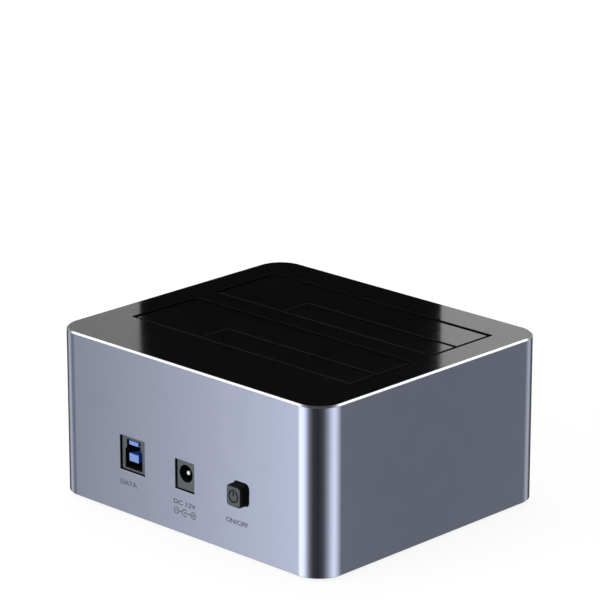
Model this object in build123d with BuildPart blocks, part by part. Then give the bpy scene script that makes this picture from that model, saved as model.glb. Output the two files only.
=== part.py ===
from build123d import *

import os
from math import asin, atan2, hypot, pi, sqrt

os.makedirs("parts", exist_ok=True)

# Two-bay hard drive docking station. Millimetres.
# X runs along the socket face, Y runs from the socket face to the lamp face, Z is up.
# The origin is under the middle of the shell, on the surface that the feet stand on.

# Drive bays. The slots and their depth set the size of the shell.
slot_length = 105.6
slot_depth = 31.6
slot_corner_radius = 0.6
bay_gap = 9.0
seat_depth = 44.5

# Outer shell, a drawn aluminium tube with a rounded-rectangle section
shell_corner_radius = 10.0
shell_rim_chamfer = 0.6
shell_rim_land = 0.05
shell_ledge = 0.95
shell_foot_chamfer = 0.3
overrun = 2.0
fit_gap = 0.1

# Rubber feet
foot_radius = 6.0
foot_thickness = 1.9
foot_proud = 1.0
foot_edge = 0.5
foot_inset = 19.0

# Base plate
base_thickness = 2.0
base_recess = 0.3
base_vent_length = 22.0
base_vent_width = 2.0
base_vent_pitch = 5.0
base_vent_count = 7
base_vent_row_gap = 26.0

# Base screws, which pull the base plate up to the cover's corner posts
base_screw_radius = 1.45
base_screw_length = 12.0
base_screw_head_radius = 2.75
base_screw_head_height = 1.8
base_screw_boss_radius = 4.2
base_screw_boss_gap = 0.5
base_screw_boss_height = 3.0
base_screw_sink = 2.4
cross_width = 0.7
cross_depth = 0.8

# Glossy top cover
cover_thickness = 2.2
cover_edge = 0.1
cover_post_radius = 3.5

# Bay wells, one under each slot
well_wall = 1.6
well_floor = 1.8
under_well_space = 4.0
well_hinge_pocket = 2.0
well_ear_length = 7.0
well_ear_gap = 1.1
well_ear_width = 6.4
well_ear_thickness = 2.0
well_ear_drop = 6.0
well_ear_pitch = 21.0
well_boss_radius = 2.6
well_screw_radius = 1.1
well_screw_length = 6.5
well_screw_head_radius = 2.1
well_screw_head_height = 1.4

# Large flap, which closes a slot
flap_recess = 0.2
flap_thickness = 1.6
flap_end_gap = 1.35
flap_front_gap = 1.0
flap_hinge_gap = 1.3
flap_edge = 0.25
flap_rib = 1.2
flap_rib_depth = 1.5
flap_heel = 2.6
flap_axis_drop = 3.7
flap_axis_offset = 0.2
flap_barrel_radius = 1.45
flap_pin_radius = 0.8
pin_running_gap = 0.05
flap_spring_bay = 12.0
flap_spring_wire = 0.4
flap_spring_clearance = 0.3
flap_spring_turns = 6
flap_spring_pitch = 0.9
flap_spring_leg = 8.0

# Small flap, let into the corner of the large one
door_length = 70.7
door_opening = 14.2
door_gap = 0.5
door_hinge_gap = 1.2
door_heel = 2.2
door_axis_drop = 3.0
door_axis_offset = 0.2
door_barrel_radius = 1.15
door_pin_radius = 0.55
door_lug = 2.0
door_lug_gap = 0.3
door_spring_bay = 8.0
door_spring_wire = 0.3
door_spring_clearance = 0.3
door_spring_turns = 5
door_spring_pitch = 0.75
door_spring_leg = 5.0

# Main board, under the wells
board_thickness = 1.6
main_post_height = 6.2
main_board_side = 13.1
main_board_rear = 1.35
board_corner_radius = 2.0
board_post_radius = 3.0
board_post_inset_x = 5.0
board_post_inset_y = 4.2
board_screw_radius = 1.4
board_screw_length = 6.0
board_screw_head_radius = 2.6
board_screw_head_height = 1.5
screw_thread_gap = 0.05

# Port board, raised behind the socket face
port_board_length = 79.0
port_board_depth = 19.8
port_board_setback = 0.6
port_board_gap = 2.65
port_post_inset_x = 4.5
board_overlap = 6.0

# Connector that joins the two boards
link_height = 4.45
link_length = 24.0
link_width = 4.0
link_overlap = 3.0
link_split_share = 0.56
link_slot_width = 1.4
link_ways = 12
link_pitch = 1.8
link_contact_width = 0.6
link_contact_thickness = 0.25

# Drive receptacle, 7 signal ways and 15 power ways
receptacle_length = 43.0
receptacle_width = 5.6
receptacle_height = 10.3
receptacle_edge_x = 5.6
receptacle_edge_y = 1.6
receptacle_slot_depth = 6.2
receptacle_slot_width = 1.5
receptacle_signal_slot = 10.6
receptacle_power_slot = 20.6
receptacle_slot_space = 2.6
receptacle_key = 1.2
receptacle_horn_length = 2.2
receptacle_horn_height = 1.6
receptacle_gap = 0.3
contact_pitch = 1.27
contact_width = 0.6
contact_thickness = 0.3
contact_rise = 5.2
signal_ways = 7
power_ways = 15

# Data socket, type B
data_x = -25.4
data_width = 11.5
data_height = 12.0
data_length = 17.0
data_sleeve_wall = 0.35
data_cavity_depth = 9.5
data_plug_width = 8.5
data_plug_height = 7.8
data_plug_bevel = 1.3
data_top_width = 6.9
data_top_height = 2.8
data_bottom_wall = 0.35
data_block_width = 4.5
data_block_height = 2.8
data_block_lift = 2.8
data_tongue_height = 1.4
data_tongue_lift = 8.8
data_insulator_back = 1.5
data_tongue_setback = 0.05
data_contact_setback = 0.8
data_contact_width = 0.6
data_contact_thickness = 0.15
data_contact_pitch = 3.0
data_tongue_contact_pitch = 1.0
data_tongue_contact_count = 5
port_recess = 0.7
port_gap = 0.35

# Power socket, a barrel jack
jack_x = 0.4
jack_width = 8.5
jack_height = 10.2
jack_length = 14.0
jack_axis_lift = 5.87
jack_hole_radius = 3.1
jack_hole_depth = 10.0
jack_pin_radius = 1.0
jack_pin_setback = 0.95
jack_pin_shoulder = 1.8
jack_mouth_bevel = 0.12
jack_spring_width = 1.6
jack_spring_thickness = 0.3
jack_spring_length = 6.0

# Push switch and its button
button_x = 27.5
button_axis_lift = 6.0
button_width = 7.0
button_height = 7.7
button_corner_radius = 1.5
button_proud = 3.7
button_edge = 0.7
button_wall = 1.2
button_gap = 0.25
button_flange = 1.1
button_flange_thickness = 1.0
button_flange_gap = 0.3
button_travel = 2.0
power_mark_radius = 2.3
power_mark_stroke = 0.6
power_mark_depth = 0.4
power_mark_gap_share = 0.62
plunger_size = 3.0
plunger_gap = 0.1
plunger_reach = 5.0
switch_width = 8.5
switch_height = 9.6
switch_stop = 0.6
switch_bore_floor = 1.5

# Electronic parts on the boards
bridge_chip_size = 9.0
bridge_chip_height = 0.9
memory_chip_length = 5.2
memory_chip_width = 4.0
memory_chip_height = 1.5
chip_leg_width = 0.42
chip_leg_reach = 1.0
chip_leg_pitch = 1.27
chip_leg_height = 0.6
crystal_length = 5.0
crystal_width = 3.2
crystal_height = 1.1
regulator_length = 4.9
regulator_width = 3.9
regulator_height = 1.5
inductor_size = 7.0
inductor_height = 3.0
inductor_corner = 1.2
electrolytic_radius = 3.15
electrolytic_height = 7.7
electrolytic_base = 6.6
electrolytic_base_height = 1.1
electrolytic_groove = 0.35
electrolytic_edge = 0.9
electrolytic_gap = 0.3
electrolytic_offset = 10.0
electrolytic_pitch = 8.0
ceramic_length = 1.6
ceramic_width = 0.8
ceramic_height = 0.8
ceramic_pitch = 4.0
ceramic_count = 9
parts_spacing = 16.0

# Status lamps and their light pipes, in the rear wall
lamp_pitch = 12.0
lamp_count = 3
lamp_width = 3.0
lamp_depth = 1.6
lamp_height = 2.6
pipe_radius = 1.0
pipe_collar_radius = 1.7
pipe_collar = 1.0
pipe_proud = 0.15
pipe_gap = 0.1

# Outline of the shell, worked out from the sizes above
rim_width = shell_rim_chamfer + shell_rim_land
shell_wall = rim_width + shell_ledge
slot_end_margin = well_wall + well_ear_length + well_ear_gap + shell_wall
slot_front_margin = shell_wall + port_board_setback + port_board_depth + port_board_gap + well_wall
rear_space = electrolytic_gap + electrolytic_base + electrolytic_edge + main_board_rear
slot_rear_margin = well_hinge_pocket + well_wall + rear_space + shell_wall
bay_pitch = slot_depth + bay_gap
bays_offset = (slot_front_margin - slot_rear_margin) / 2
shell_length = slot_length + 2 * slot_end_margin
shell_width = slot_front_margin + slot_depth + bay_pitch + slot_rear_margin
half_length = shell_length / 2
half_width = shell_width / 2

# Levels, from the feet upwards
shell_bottom = foot_proud
base_bottom = shell_bottom + base_recess
base_top = base_bottom + base_thickness
base_boss_top = base_top + base_screw_boss_height
main_board_bottom = base_top + main_post_height
main_board_top = main_board_bottom + board_thickness
lamp_axis = main_board_top + lamp_height / 2
well_floor_bottom = main_board_top + under_well_space
well_floor_top = well_floor_bottom + well_floor
port_board_bottom = main_board_top + link_height
port_board_top = port_board_bottom + board_thickness
data_axis = port_board_top + data_height / 2
jack_axis = port_board_top + jack_axis_lift
button_axis = port_board_top + button_axis_lift
shell_top = well_floor_top + seat_depth
shell_height = shell_top - shell_bottom
cover_bottom = shell_top - cover_thickness
flap_top = shell_top - flap_recess
flap_bottom = flap_top - flap_thickness
flap_axis_z = flap_top - flap_axis_drop
door_axis_z = flap_top - door_axis_drop

# Places along X and Y
bay_centres = {
    "near": bays_offset - bay_pitch / 2,
    "far": bays_offset + bay_pitch / 2,
}
well_outer_x = slot_length / 2 + well_wall
flap_end = slot_length / 2 - flap_end_gap
door_start = flap_end - door_length
corner_reach = shell_corner_radius - shell_wall - base_screw_boss_radius - base_screw_boss_gap
base_screw_inset = shell_corner_radius - corner_reach / sqrt(2)
base_screw_x = half_length - base_screw_inset
base_screw_y = half_width - base_screw_inset
well_screw_x = well_outer_x + well_ear_length / 2
socket_front = -half_width + port_recess
port_board_y0 = -half_width + shell_wall + port_board_setback
port_board_y1 = port_board_y0 + port_board_depth
port_post_x = port_board_length / 2 - port_post_inset_x
port_post_y = port_board_y0 + (port_board_depth - board_overlap) / 2
main_board_length = shell_length - 2 * main_board_side
main_board_y0 = port_board_y1 - board_overlap
main_board_y1 = half_width - shell_wall - main_board_rear
main_post_x = main_board_length / 2 - board_post_inset_x
main_post_y0 = main_board_y0 + board_post_inset_y
main_post_y1 = main_board_y1 - board_post_inset_y
link_y = port_board_y1 - link_overlap
receptacle_x = slot_length / 2 - receptacle_edge_x - receptacle_length / 2
lamp_places = [(place - (lamp_count - 1) / 2) * lamp_pitch for place in range(lamp_count)]


def save(piece, name):
    """Label a finished piece and write it."""
    piece.label = name
    export_step(piece, f"parts/{name}.step")


def slot_near_edge(centre):
    """The slot edge on the socket side."""
    return centre - slot_depth / 2


def slot_far_edge(centre):
    """The slot edge on the lamp side, which the flap's hinge follows."""
    return centre + slot_depth / 2


def door_edge(centre):
    """The long edge of the opening for the small flap."""
    return slot_near_edge(centre) + door_opening


def screw(shank_radius, shank_length, head_radius, head_height):
    """A pan-head screw at the origin: head below, shank pointing up, cross recess in the head."""
    with BuildPart() as body:
        Cylinder(head_radius, head_height, align=(Align.CENTER, Align.CENTER, Align.MAX))
        chamfer(body.faces().sort_by(Axis.Z)[0].edges(), head_height / 4)
        Cylinder(shank_radius, shank_length, align=(Align.CENTER, Align.CENTER, Align.MIN))
        chamfer(body.faces().sort_by(Axis.Z)[-1].edges(), shank_radius / 4)
        with BuildSketch(Plane.XY.offset(-head_height)):
            Rectangle(head_radius, cross_width)
            Rectangle(cross_width, head_radius)
        extrude(amount=cross_depth, mode=Mode.SUBTRACT)
    return body.part


# Outer shell
with BuildPart() as outer_shell:
    with BuildSketch(Plane.XY.offset(shell_bottom)):
        RectangleRounded(shell_length, shell_width, shell_corner_radius)
        RectangleRounded(
            shell_length - 2 * shell_wall,
            shell_width - 2 * shell_wall,
            shell_corner_radius - shell_wall,
            mode=Mode.SUBTRACT,
        )
    extrude(amount=shell_height)
    top_rim = outer_shell.faces().sort_by(Axis.Z)[-1].outer_wire().edges()
    chamfer(top_rim, shell_rim_chamfer)
    bottom_rim = outer_shell.faces().sort_by(Axis.Z)[0].outer_wire().edges()
    chamfer(bottom_rim, shell_foot_chamfer)
    # Rebates for the cover and for the base plate
    for level, depth in ((cover_bottom, cover_thickness), (shell_bottom, base_recess + base_thickness)):
        with BuildSketch(Plane.XY.offset(level)):
            RectangleRounded(
                shell_length - 2 * rim_width,
                shell_width - 2 * rim_width,
                shell_corner_radius - rim_width,
            )
        extrude(amount=depth, mode=Mode.SUBTRACT)
    # Openings for the data socket, the power socket and the button
    with BuildSketch(Plane.XZ.offset(half_width)):
        with Locations((data_x, data_axis)):
            Rectangle(data_width + 2 * port_gap, data_height + 2 * port_gap)
        with Locations((jack_x, port_board_top + jack_height / 2)):
            Rectangle(jack_width + 2 * port_gap, jack_height + 2 * port_gap)
        with Locations((button_x, button_axis)):
            RectangleRounded(
                button_width + 2 * button_gap,
                button_height + 2 * button_gap,
                button_corner_radius + button_gap,
            )
    extrude(amount=shell_wall + overrun, both=True, mode=Mode.SUBTRACT)
    # Holes for the light pipes
    with BuildSketch(Plane.XZ.offset(-half_width)):
        with Locations(*[(place, lamp_axis) for place in lamp_places]):
            Circle(pipe_radius + pipe_gap)
    extrude(amount=shell_wall + overrun, both=True, mode=Mode.SUBTRACT)
save(outer_shell.part, "outer_shell")

# Base plate, let into the bottom of the shell
base_outline = (
    shell_length - 2 * (rim_width + fit_gap),
    shell_width - 2 * (rim_width + fit_gap),
    shell_corner_radius - rim_width - fit_gap,
)
foot_x = half_length - foot_inset
foot_y = half_width - foot_inset
with BuildPart() as base_plate:
    with BuildSketch(Plane.XY.offset(base_bottom)):
        RectangleRounded(*base_outline)
    extrude(amount=base_thickness)
    with BuildSketch(Plane.XY.offset(base_top)):
        with GridLocations(2 * base_screw_x, 2 * base_screw_y, 2, 2):
            Circle(base_screw_boss_radius)
    extrude(amount=base_screw_boss_height)
    # Posts for the main board and for the port board
    with BuildSketch(Plane.XY.offset(base_top)):
        for post_y in (main_post_y0, main_post_y1):
            with Locations((-main_post_x, post_y), (main_post_x, post_y)):
                Circle(board_post_radius)
    extrude(amount=main_board_bottom - base_top)
    with BuildSketch(Plane.XY.offset(base_top)):
        with Locations((-port_post_x, port_post_y), (port_post_x, port_post_y)):
            Circle(board_post_radius)
    extrude(amount=port_board_bottom - base_top)
    # Screw holes, sunk for the heads below and blind in the posts
    with BuildSketch(Plane.XY.offset(base_bottom)):
        with GridLocations(2 * base_screw_x, 2 * base_screw_y, 2, 2):
            Circle(base_screw_head_radius + fit_gap)
    extrude(amount=base_screw_sink, mode=Mode.SUBTRACT)
    with BuildSketch(Plane.XY.offset(base_bottom)):
        with GridLocations(2 * base_screw_x, 2 * base_screw_y, 2, 2):
            Circle(base_screw_radius + fit_gap)
    extrude(amount=base_boss_top - base_bottom, mode=Mode.SUBTRACT)
    with BuildSketch(Plane.XY.offset(main_board_bottom)):
        for post_y in (main_post_y0, main_post_y1):
            with Locations((-main_post_x, post_y), (main_post_x, post_y)):
                Circle(board_screw_radius + screw_thread_gap)
    extrude(amount=-board_screw_length, mode=Mode.SUBTRACT)
    with BuildSketch(Plane.XY.offset(port_board_bottom)):
        with Locations((-port_post_x, port_post_y), (port_post_x, port_post_y)):
            Circle(board_screw_radius + screw_thread_gap)
    extrude(amount=-board_screw_length, mode=Mode.SUBTRACT)
    # Pockets for the feet
    with BuildSketch(Plane.XY.offset(base_bottom)):
        with GridLocations(2 * foot_x, 2 * foot_y, 2, 2):
            Circle(foot_radius + fit_gap)
    extrude(amount=foot_thickness - base_bottom, mode=Mode.SUBTRACT)
    # Two rows of air slots
    with BuildSketch(Plane.XY.offset(base_bottom)):
        with GridLocations(
            base_vent_row_gap + base_vent_length, base_vent_pitch, 2, base_vent_count
        ):
            SlotOverall(base_vent_length, base_vent_width)
    extrude(amount=base_thickness, mode=Mode.SUBTRACT)
save(base_plate.part, "base_plate")

# Rubber feet
with BuildPart() as rubber_feet:
    with BuildSketch():
        with GridLocations(2 * foot_x, 2 * foot_y, 2, 2):
            Circle(foot_radius)
    extrude(amount=foot_thickness)
    chamfer(rubber_feet.faces().filter_by_position(Axis.Z, 0, 0).edges(), foot_edge)
save(rubber_feet.part, "rubber_feet")

# Base screws
base_screw_seat = base_bottom + base_screw_sink
base_screw_solid = screw(
    base_screw_radius, base_screw_length, base_screw_head_radius, base_screw_head_height
)
with BuildPart() as base_screws:
    with Locations(Plane.XY.offset(base_screw_seat)):
        with GridLocations(2 * base_screw_x, 2 * base_screw_y, 2, 2):
            add(base_screw_solid)
save(base_screws.part, "base_screws")

# Top cover with four corner posts and eight bosses for the wells
well_screw_places = [
    (side * well_screw_x, centre + end * well_ear_pitch / 2)
    for centre in bay_centres.values()
    for side in (-1, 1)
    for end in (-1, 1)
]
with BuildPart() as top_cover:
    with BuildSketch(Plane.XY.offset(cover_bottom)):
        RectangleRounded(*base_outline)
    extrude(amount=cover_thickness)
    with BuildSketch(Plane.XY.offset(cover_bottom)):
        with Locations(*[(0, centre) for centre in bay_centres.values()]):
            RectangleRounded(slot_length, slot_depth, slot_corner_radius)
    extrude(amount=cover_thickness, mode=Mode.SUBTRACT)
    slot_rims = top_cover.faces().sort_by(Axis.Z)[-1].inner_wires()
    chamfer([edge for rim in slot_rims for edge in rim.edges()], cover_edge)
    with BuildSketch(Plane.XY.offset(base_boss_top)):
        with GridLocations(2 * base_screw_x, 2 * base_screw_y, 2, 2):
            Circle(cover_post_radius)
    extrude(amount=cover_bottom - base_boss_top)
    with BuildSketch(Plane.XY.offset(base_boss_top)):
        with GridLocations(2 * base_screw_x, 2 * base_screw_y, 2, 2):
            Circle(base_screw_radius + screw_thread_gap)
    extrude(amount=base_screw_length, mode=Mode.SUBTRACT)
    with BuildSketch(Plane.XY.offset(cover_bottom - well_ear_drop)):
        with Locations(*well_screw_places):
            Circle(well_boss_radius)
    extrude(amount=well_ear_drop)
    with BuildSketch(Plane.XY.offset(cover_bottom - well_ear_drop)):
        with Locations(*well_screw_places):
            Circle(well_screw_radius + screw_thread_gap)
    extrude(amount=well_screw_length - well_ear_thickness + fit_gap, mode=Mode.SUBTRACT)
save(top_cover.part, "top_cover")

# Well screws
well_screw_seat = cover_bottom - well_ear_drop - well_ear_thickness
well_screw_solid = screw(
    well_screw_radius, well_screw_length, well_screw_head_radius, well_screw_head_height
)
with BuildPart() as well_screws:
    with Locations(Plane.XY.offset(well_screw_seat)):
        with Locations(*well_screw_places):
            add(well_screw_solid)
save(well_screws.part, "well_screws")


def bay_well(centre):
    """The box under a slot: it guides the drive, seats it, and holds the hinge pin in its end walls."""
    near = slot_near_edge(centre)
    far = slot_far_edge(centre) + well_hinge_pocket
    middle = (near + far) / 2
    inner_depth = far - near
    with BuildPart() as well:
        with BuildSketch(Plane.XY.offset(well_floor_bottom)):
            with Locations((0, middle)):
                Rectangle(2 * well_outer_x, inner_depth + 2 * well_wall)
        extrude(amount=cover_bottom - well_floor_bottom)
        with BuildSketch(Plane.XY.offset(well_floor_top)):
            with Locations((0, middle)):
                Rectangle(slot_length, inner_depth)
        extrude(amount=cover_bottom - well_floor_top, mode=Mode.SUBTRACT)
        # The receptacle comes up through the floor
        with BuildSketch(Plane.XY.offset(well_floor_bottom)):
            with Locations((receptacle_x, near + receptacle_edge_y + receptacle_width / 2)):
                Rectangle(
                    receptacle_length + 2 * receptacle_gap, receptacle_width + 2 * receptacle_gap
                )
        extrude(amount=well_floor, mode=Mode.SUBTRACT)
        # Ears for the screws
        with BuildSketch(Plane.XY.offset(well_screw_seat)):
            with Locations((0, centre)):
                with GridLocations(2 * well_screw_x, well_ear_pitch, 2, 2):
                    Rectangle(well_ear_length, well_ear_width)
        extrude(amount=well_ear_thickness)
        with BuildSketch(Plane.XY.offset(well_screw_seat)):
            with Locations((0, centre)):
                with GridLocations(2 * well_screw_x, well_ear_pitch, 2, 2):
                    Circle(well_screw_radius + fit_gap)
        extrude(amount=well_ear_thickness, mode=Mode.SUBTRACT)
        # Holes for the hinge pin
        with BuildSketch(Plane.YZ.offset(-well_outer_x)):
            with Locations((slot_far_edge(centre) + flap_axis_offset, flap_axis_z)):
                Circle(flap_pin_radius + pin_running_gap)
        extrude(amount=2 * well_outer_x, mode=Mode.SUBTRACT)
    return well.part


def large_flap(centre):
    """The flap that closes a slot, cut away at one corner for the small flap."""
    near = slot_near_edge(centre) + flap_front_gap
    far = slot_far_edge(centre) - flap_hinge_gap
    opening = door_edge(centre)
    axis_y = slot_far_edge(centre) + flap_axis_offset
    door_axis_y = opening + door_axis_offset
    with BuildPart() as flap:
        with BuildSketch(Plane.XY.offset(flap_bottom)):
            with BuildLine():
                Polyline(
                    (-flap_end, near),
                    (door_start, near),
                    (door_start, opening),
                    (flap_end, opening),
                    (flap_end, far),
                    (-flap_end, far),
                    close=True,
                )
            make_face()
        extrude(amount=flap_thickness)
        chamfer(flap.faces().sort_by(Axis.Z)[-1].edges(), flap_edge)
        # Stiffening ribs below
        with BuildSketch(Plane.XY.offset(flap_bottom)):
            with Locations((-flap_end, near)):
                Rectangle(door_start + flap_end, flap_rib, align=Align.MIN)
                Rectangle(flap_rib, far - near, align=Align.MIN)
            with Locations((door_start, near)):
                Rectangle(
                    flap_rib, opening - near - door_barrel_radius, align=(Align.MAX, Align.MIN)
                )
        extrude(amount=-flap_rib_depth)
        # Arm and barrel of the hinge, in two lengths with the spring between them
        with BuildSketch(Plane.YZ.offset(-flap_end)):
            with BuildLine():
                Polyline(
                    (far - flap_heel, flap_bottom),
                    (far, flap_bottom),
                    (axis_y, flap_axis_z + flap_barrel_radius),
                    (axis_y, flap_axis_z - flap_barrel_radius),
                    (far - flap_heel / 2, flap_axis_z),
                    close=True,
                )
            make_face()
            with Locations((axis_y, flap_axis_z)):
                Circle(flap_barrel_radius)
                Circle(flap_pin_radius + pin_running_gap, mode=Mode.SUBTRACT)
        extrude(amount=2 * flap_end)
        with BuildSketch(Plane.YZ.offset(-flap_spring_bay / 2)):
            with Locations((axis_y, flap_axis_z)):
                Rectangle(
                    2 * (flap_axis_offset + flap_hinge_gap + flap_heel),
                    2 * (flap_axis_drop - flap_thickness),
                )
        extrude(amount=flap_spring_bay, mode=Mode.SUBTRACT)
        # Lugs that carry the pin of the small flap
        with BuildSketch(Plane.YZ.offset(door_start - door_lug)):
            with Locations((door_axis_y, door_axis_z)):
                Circle(door_barrel_radius)
                Rectangle(
                    2 * door_barrel_radius,
                    flap_bottom - door_axis_z,
                    align=(Align.CENTER, Align.MIN),
                )
                Circle(door_pin_radius + pin_running_gap, mode=Mode.SUBTRACT)
        extrude(amount=door_lug)
        with BuildSketch(Plane.YZ.offset(flap_end)):
            with Locations((door_axis_y, door_axis_z)):
                Circle(door_barrel_radius)
                Rectangle(
                    2 * door_barrel_radius,
                    flap_bottom - door_axis_z,
                    align=(Align.CENTER, Align.MIN),
                )
                Circle(door_pin_radius + pin_running_gap, mode=Mode.SUBTRACT)
        extrude(amount=-door_lug)
    return flap.part


def small_flap(centre):
    """The flap for the narrower drive, with its own hinge barrel."""
    near = slot_near_edge(centre) + flap_front_gap
    far = door_edge(centre) - door_hinge_gap
    start = door_start + door_gap
    axis_y = door_edge(centre) + door_axis_offset
    barrel_start = door_start + door_lug_gap
    barrel_end = flap_end - door_lug - door_lug_gap
    middle = (barrel_start + barrel_end) / 2
    with BuildPart() as flap:
        with BuildSketch(Plane.XY.offset(flap_bottom)):
            with Locations((start, near)):
                Rectangle(flap_end - start, far - near, align=Align.MIN)
        extrude(amount=flap_thickness)
        chamfer(flap.faces().sort_by(Axis.Z)[-1].edges(), flap_edge)
        with BuildSketch(Plane.YZ.offset(barrel_start)):
            with BuildLine():
                Polyline(
                    (far - door_heel, flap_bottom),
                    (far, flap_bottom),
                    (axis_y, door_axis_z + door_barrel_radius),
                    (axis_y, door_axis_z - door_barrel_radius),
                    (far - door_heel / 2, door_axis_z),
                    close=True,
                )
            make_face()
            with Locations((axis_y, door_axis_z)):
                Circle(door_barrel_radius)
                Circle(door_pin_radius + pin_running_gap, mode=Mode.SUBTRACT)
        extrude(amount=barrel_end - barrel_start)
        with BuildSketch(Plane.YZ.offset(middle - door_spring_bay / 2)):
            with Locations((axis_y, door_axis_z)):
                Rectangle(
                    2 * (door_axis_offset + door_hinge_gap + door_heel),
                    2 * (door_axis_drop - flap_thickness),
                )
        extrude(amount=door_spring_bay, mode=Mode.SUBTRACT)
    return flap.part


def hinge_pin(start, end, axis_y, axis_z, radius):
    """A straight steel pin along X with softened ends."""
    with BuildPart() as pin:
        with BuildSketch(Plane.YZ.offset(start)):
            with Locations((axis_y, axis_z)):
                Circle(radius)
        extrude(amount=end - start)
        chamfer(pin.edges().filter_by(GeomType.CIRCLE), radius / 4)
    return pin.part


def torsion_spring(middle, axis_y, axis_z, coil_radius, wire, pitch, turns, leg, underside):
    """A coil round the hinge pin, ending in a straight leg that lies under its flap."""
    rise = underside - pin_running_gap - wire / 2 - axis_z
    last_turn = pi - asin(rise / hypot(coil_radius, leg)) - atan2(leg, coil_radius)
    length = pitch * (turns + last_turn / (2 * pi))
    start = (middle - length / 2, axis_y, axis_z)
    along_x = Plane(origin=start, x_dir=(0, 1, 0), z_dir=(1, 0, 0))
    coil = along_x.location * Helix(pitch, length, coil_radius, mode=Mode.PRIVATE)
    with BuildPart() as spring:
        with BuildSketch(Plane(origin=coil @ 0, z_dir=coil % 0)):
            Circle(wire / 2)
        sweep(path=coil, is_frenet=True)
        tail = spring.faces().filter_by(GeomType.PLANE).sort_by(Axis.X)[-1]
        extrude(tail, amount=leg)
    return spring.part


# The sub-parts of each bay
flap_coil_radius = flap_pin_radius + flap_spring_clearance + flap_spring_wire / 2
door_coil_radius = door_pin_radius + door_spring_clearance + door_spring_wire / 2
door_spring_middle = (door_start + flap_end - door_lug) / 2
print("gap between spring turns", round(flap_spring_pitch - flap_spring_wire, 3))
print("gap between small spring turns", round(door_spring_pitch - door_spring_wire, 3))
for name, centre in bay_centres.items():
    hinge_y = slot_far_edge(centre) + flap_axis_offset
    door_y = door_edge(centre) + door_axis_offset
    save(bay_well(centre), f"{name}_bay_well")
    save(large_flap(centre), f"{name}_large_flap")
    save(small_flap(centre), f"{name}_small_flap")
    save(
        hinge_pin(-well_outer_x, well_outer_x, hinge_y, flap_axis_z, flap_pin_radius),
        f"{name}_large_hinge_pin",
    )
    save(
        hinge_pin(door_start - door_lug, flap_end, door_y, door_axis_z, door_pin_radius),
        f"{name}_small_hinge_pin",
    )
    save(
        torsion_spring(
            0,
            hinge_y,
            flap_axis_z,
            flap_coil_radius,
            flap_spring_wire,
            flap_spring_pitch,
            flap_spring_turns,
            flap_spring_leg,
            flap_bottom,
        ),
        f"{name}_large_flap_spring",
    )
    save(
        torsion_spring(
            door_spring_middle,
            door_y,
            door_axis_z,
            door_coil_radius,
            door_spring_wire,
            door_spring_pitch,
            door_spring_turns,
            door_spring_leg,
            flap_bottom,
        ),
        f"{name}_small_flap_spring",
    )

# Main board
main_board_middle = (main_board_y0 + main_board_y1) / 2
main_board_width = main_board_y1 - main_board_y0
with BuildPart() as main_board:
    with BuildSketch(Plane.XY.offset(main_board_bottom)):
        with Locations((0, main_board_middle)):
            RectangleRounded(main_board_length, main_board_width, board_corner_radius)
        for post_y in (main_post_y0, main_post_y1):
            with Locations((-main_post_x, post_y), (main_post_x, post_y)):
                Circle(board_screw_radius + fit_gap, mode=Mode.SUBTRACT)
    extrude(amount=board_thickness)
save(main_board.part, "main_board")

# Port board
with BuildPart() as port_board:
    with BuildSketch(Plane.XY.offset(port_board_bottom)):
        with Locations((0, (port_board_y0 + port_board_y1) / 2)):
            RectangleRounded(port_board_length, port_board_depth, board_corner_radius)
        with Locations((-port_post_x, port_post_y), (port_post_x, port_post_y)):
            Circle(board_screw_radius + fit_gap, mode=Mode.SUBTRACT)
    extrude(amount=board_thickness)
save(port_board.part, "port_board")

# Board screws, driven down into the posts
board_screw_places = [
    (side * main_post_x, post_y, main_board_top)
    for post_y in (main_post_y0, main_post_y1)
    for side in (-1, 1)
] + [(side * port_post_x, port_post_y, port_board_top) for side in (-1, 1)]
board_screw_solid = screw(
    board_screw_radius, board_screw_length, board_screw_head_radius, board_screw_head_height
)
with BuildPart() as board_screws:
    with Locations(*[Plane(origin=place, z_dir=(0, 0, -1)) for place in board_screw_places]):
        add(board_screw_solid)
save(board_screws.part, "board_screws")

# Connector between the boards, one half on each
link_socket_height = link_height * link_split_share
link_split = main_board_top + link_socket_height
link_slot_depth = link_socket_height / 2
with BuildPart() as link_socket:
    with BuildSketch(Plane.XY.offset(main_board_top)):
        with Locations((0, link_y)):
            Rectangle(link_length, link_width)
    extrude(amount=link_socket_height)
    with BuildSketch(Plane.XY.offset(link_split)):
        with Locations((0, link_y)):
            Rectangle(link_length - link_width, link_slot_width)
    extrude(amount=-link_slot_depth, mode=Mode.SUBTRACT)
save(link_socket.part, "link_socket")

with BuildPart() as link_plug:
    with BuildSketch(Plane.XY.offset(link_split)):
        with Locations((0, link_y)):
            Rectangle(link_length, link_width)
    extrude(amount=port_board_bottom - link_split)
    with BuildSketch(Plane.XY.offset(link_split)):
        with Locations((0, link_y)):
            Rectangle(link_length - link_width - 2 * fit_gap, link_slot_width - 2 * fit_gap)
    extrude(amount=-link_slot_depth + fit_gap)
save(link_plug.part, "link_plug")

with BuildPart() as link_contacts:
    for level, height in ((main_board_top, 1), (port_board_bottom, -1)):
        with BuildSketch(Plane.XY.offset(level)):
            with Locations((0, link_y)):
                with GridLocations(link_pitch, link_width + link_contact_width, link_ways, 2):
                    Rectangle(link_contact_width, link_contact_width)
        extrude(amount=height * link_contact_thickness)
save(link_contacts.part, "link_contacts")


def receptacle_y(centre):
    """The middle of a drive receptacle, which sits close to the slot's near edge."""
    return slot_near_edge(centre) + receptacle_edge_y + receptacle_width / 2


# The two slots of a receptacle, side by side along X
slots_length = receptacle_signal_slot + receptacle_slot_space + receptacle_power_slot
signal_slot_x = receptacle_x - slots_length / 2 + receptacle_signal_slot / 2
power_slot_x = receptacle_x + slots_length / 2 - receptacle_power_slot / 2
receptacle_top = main_board_top + receptacle_height


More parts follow.
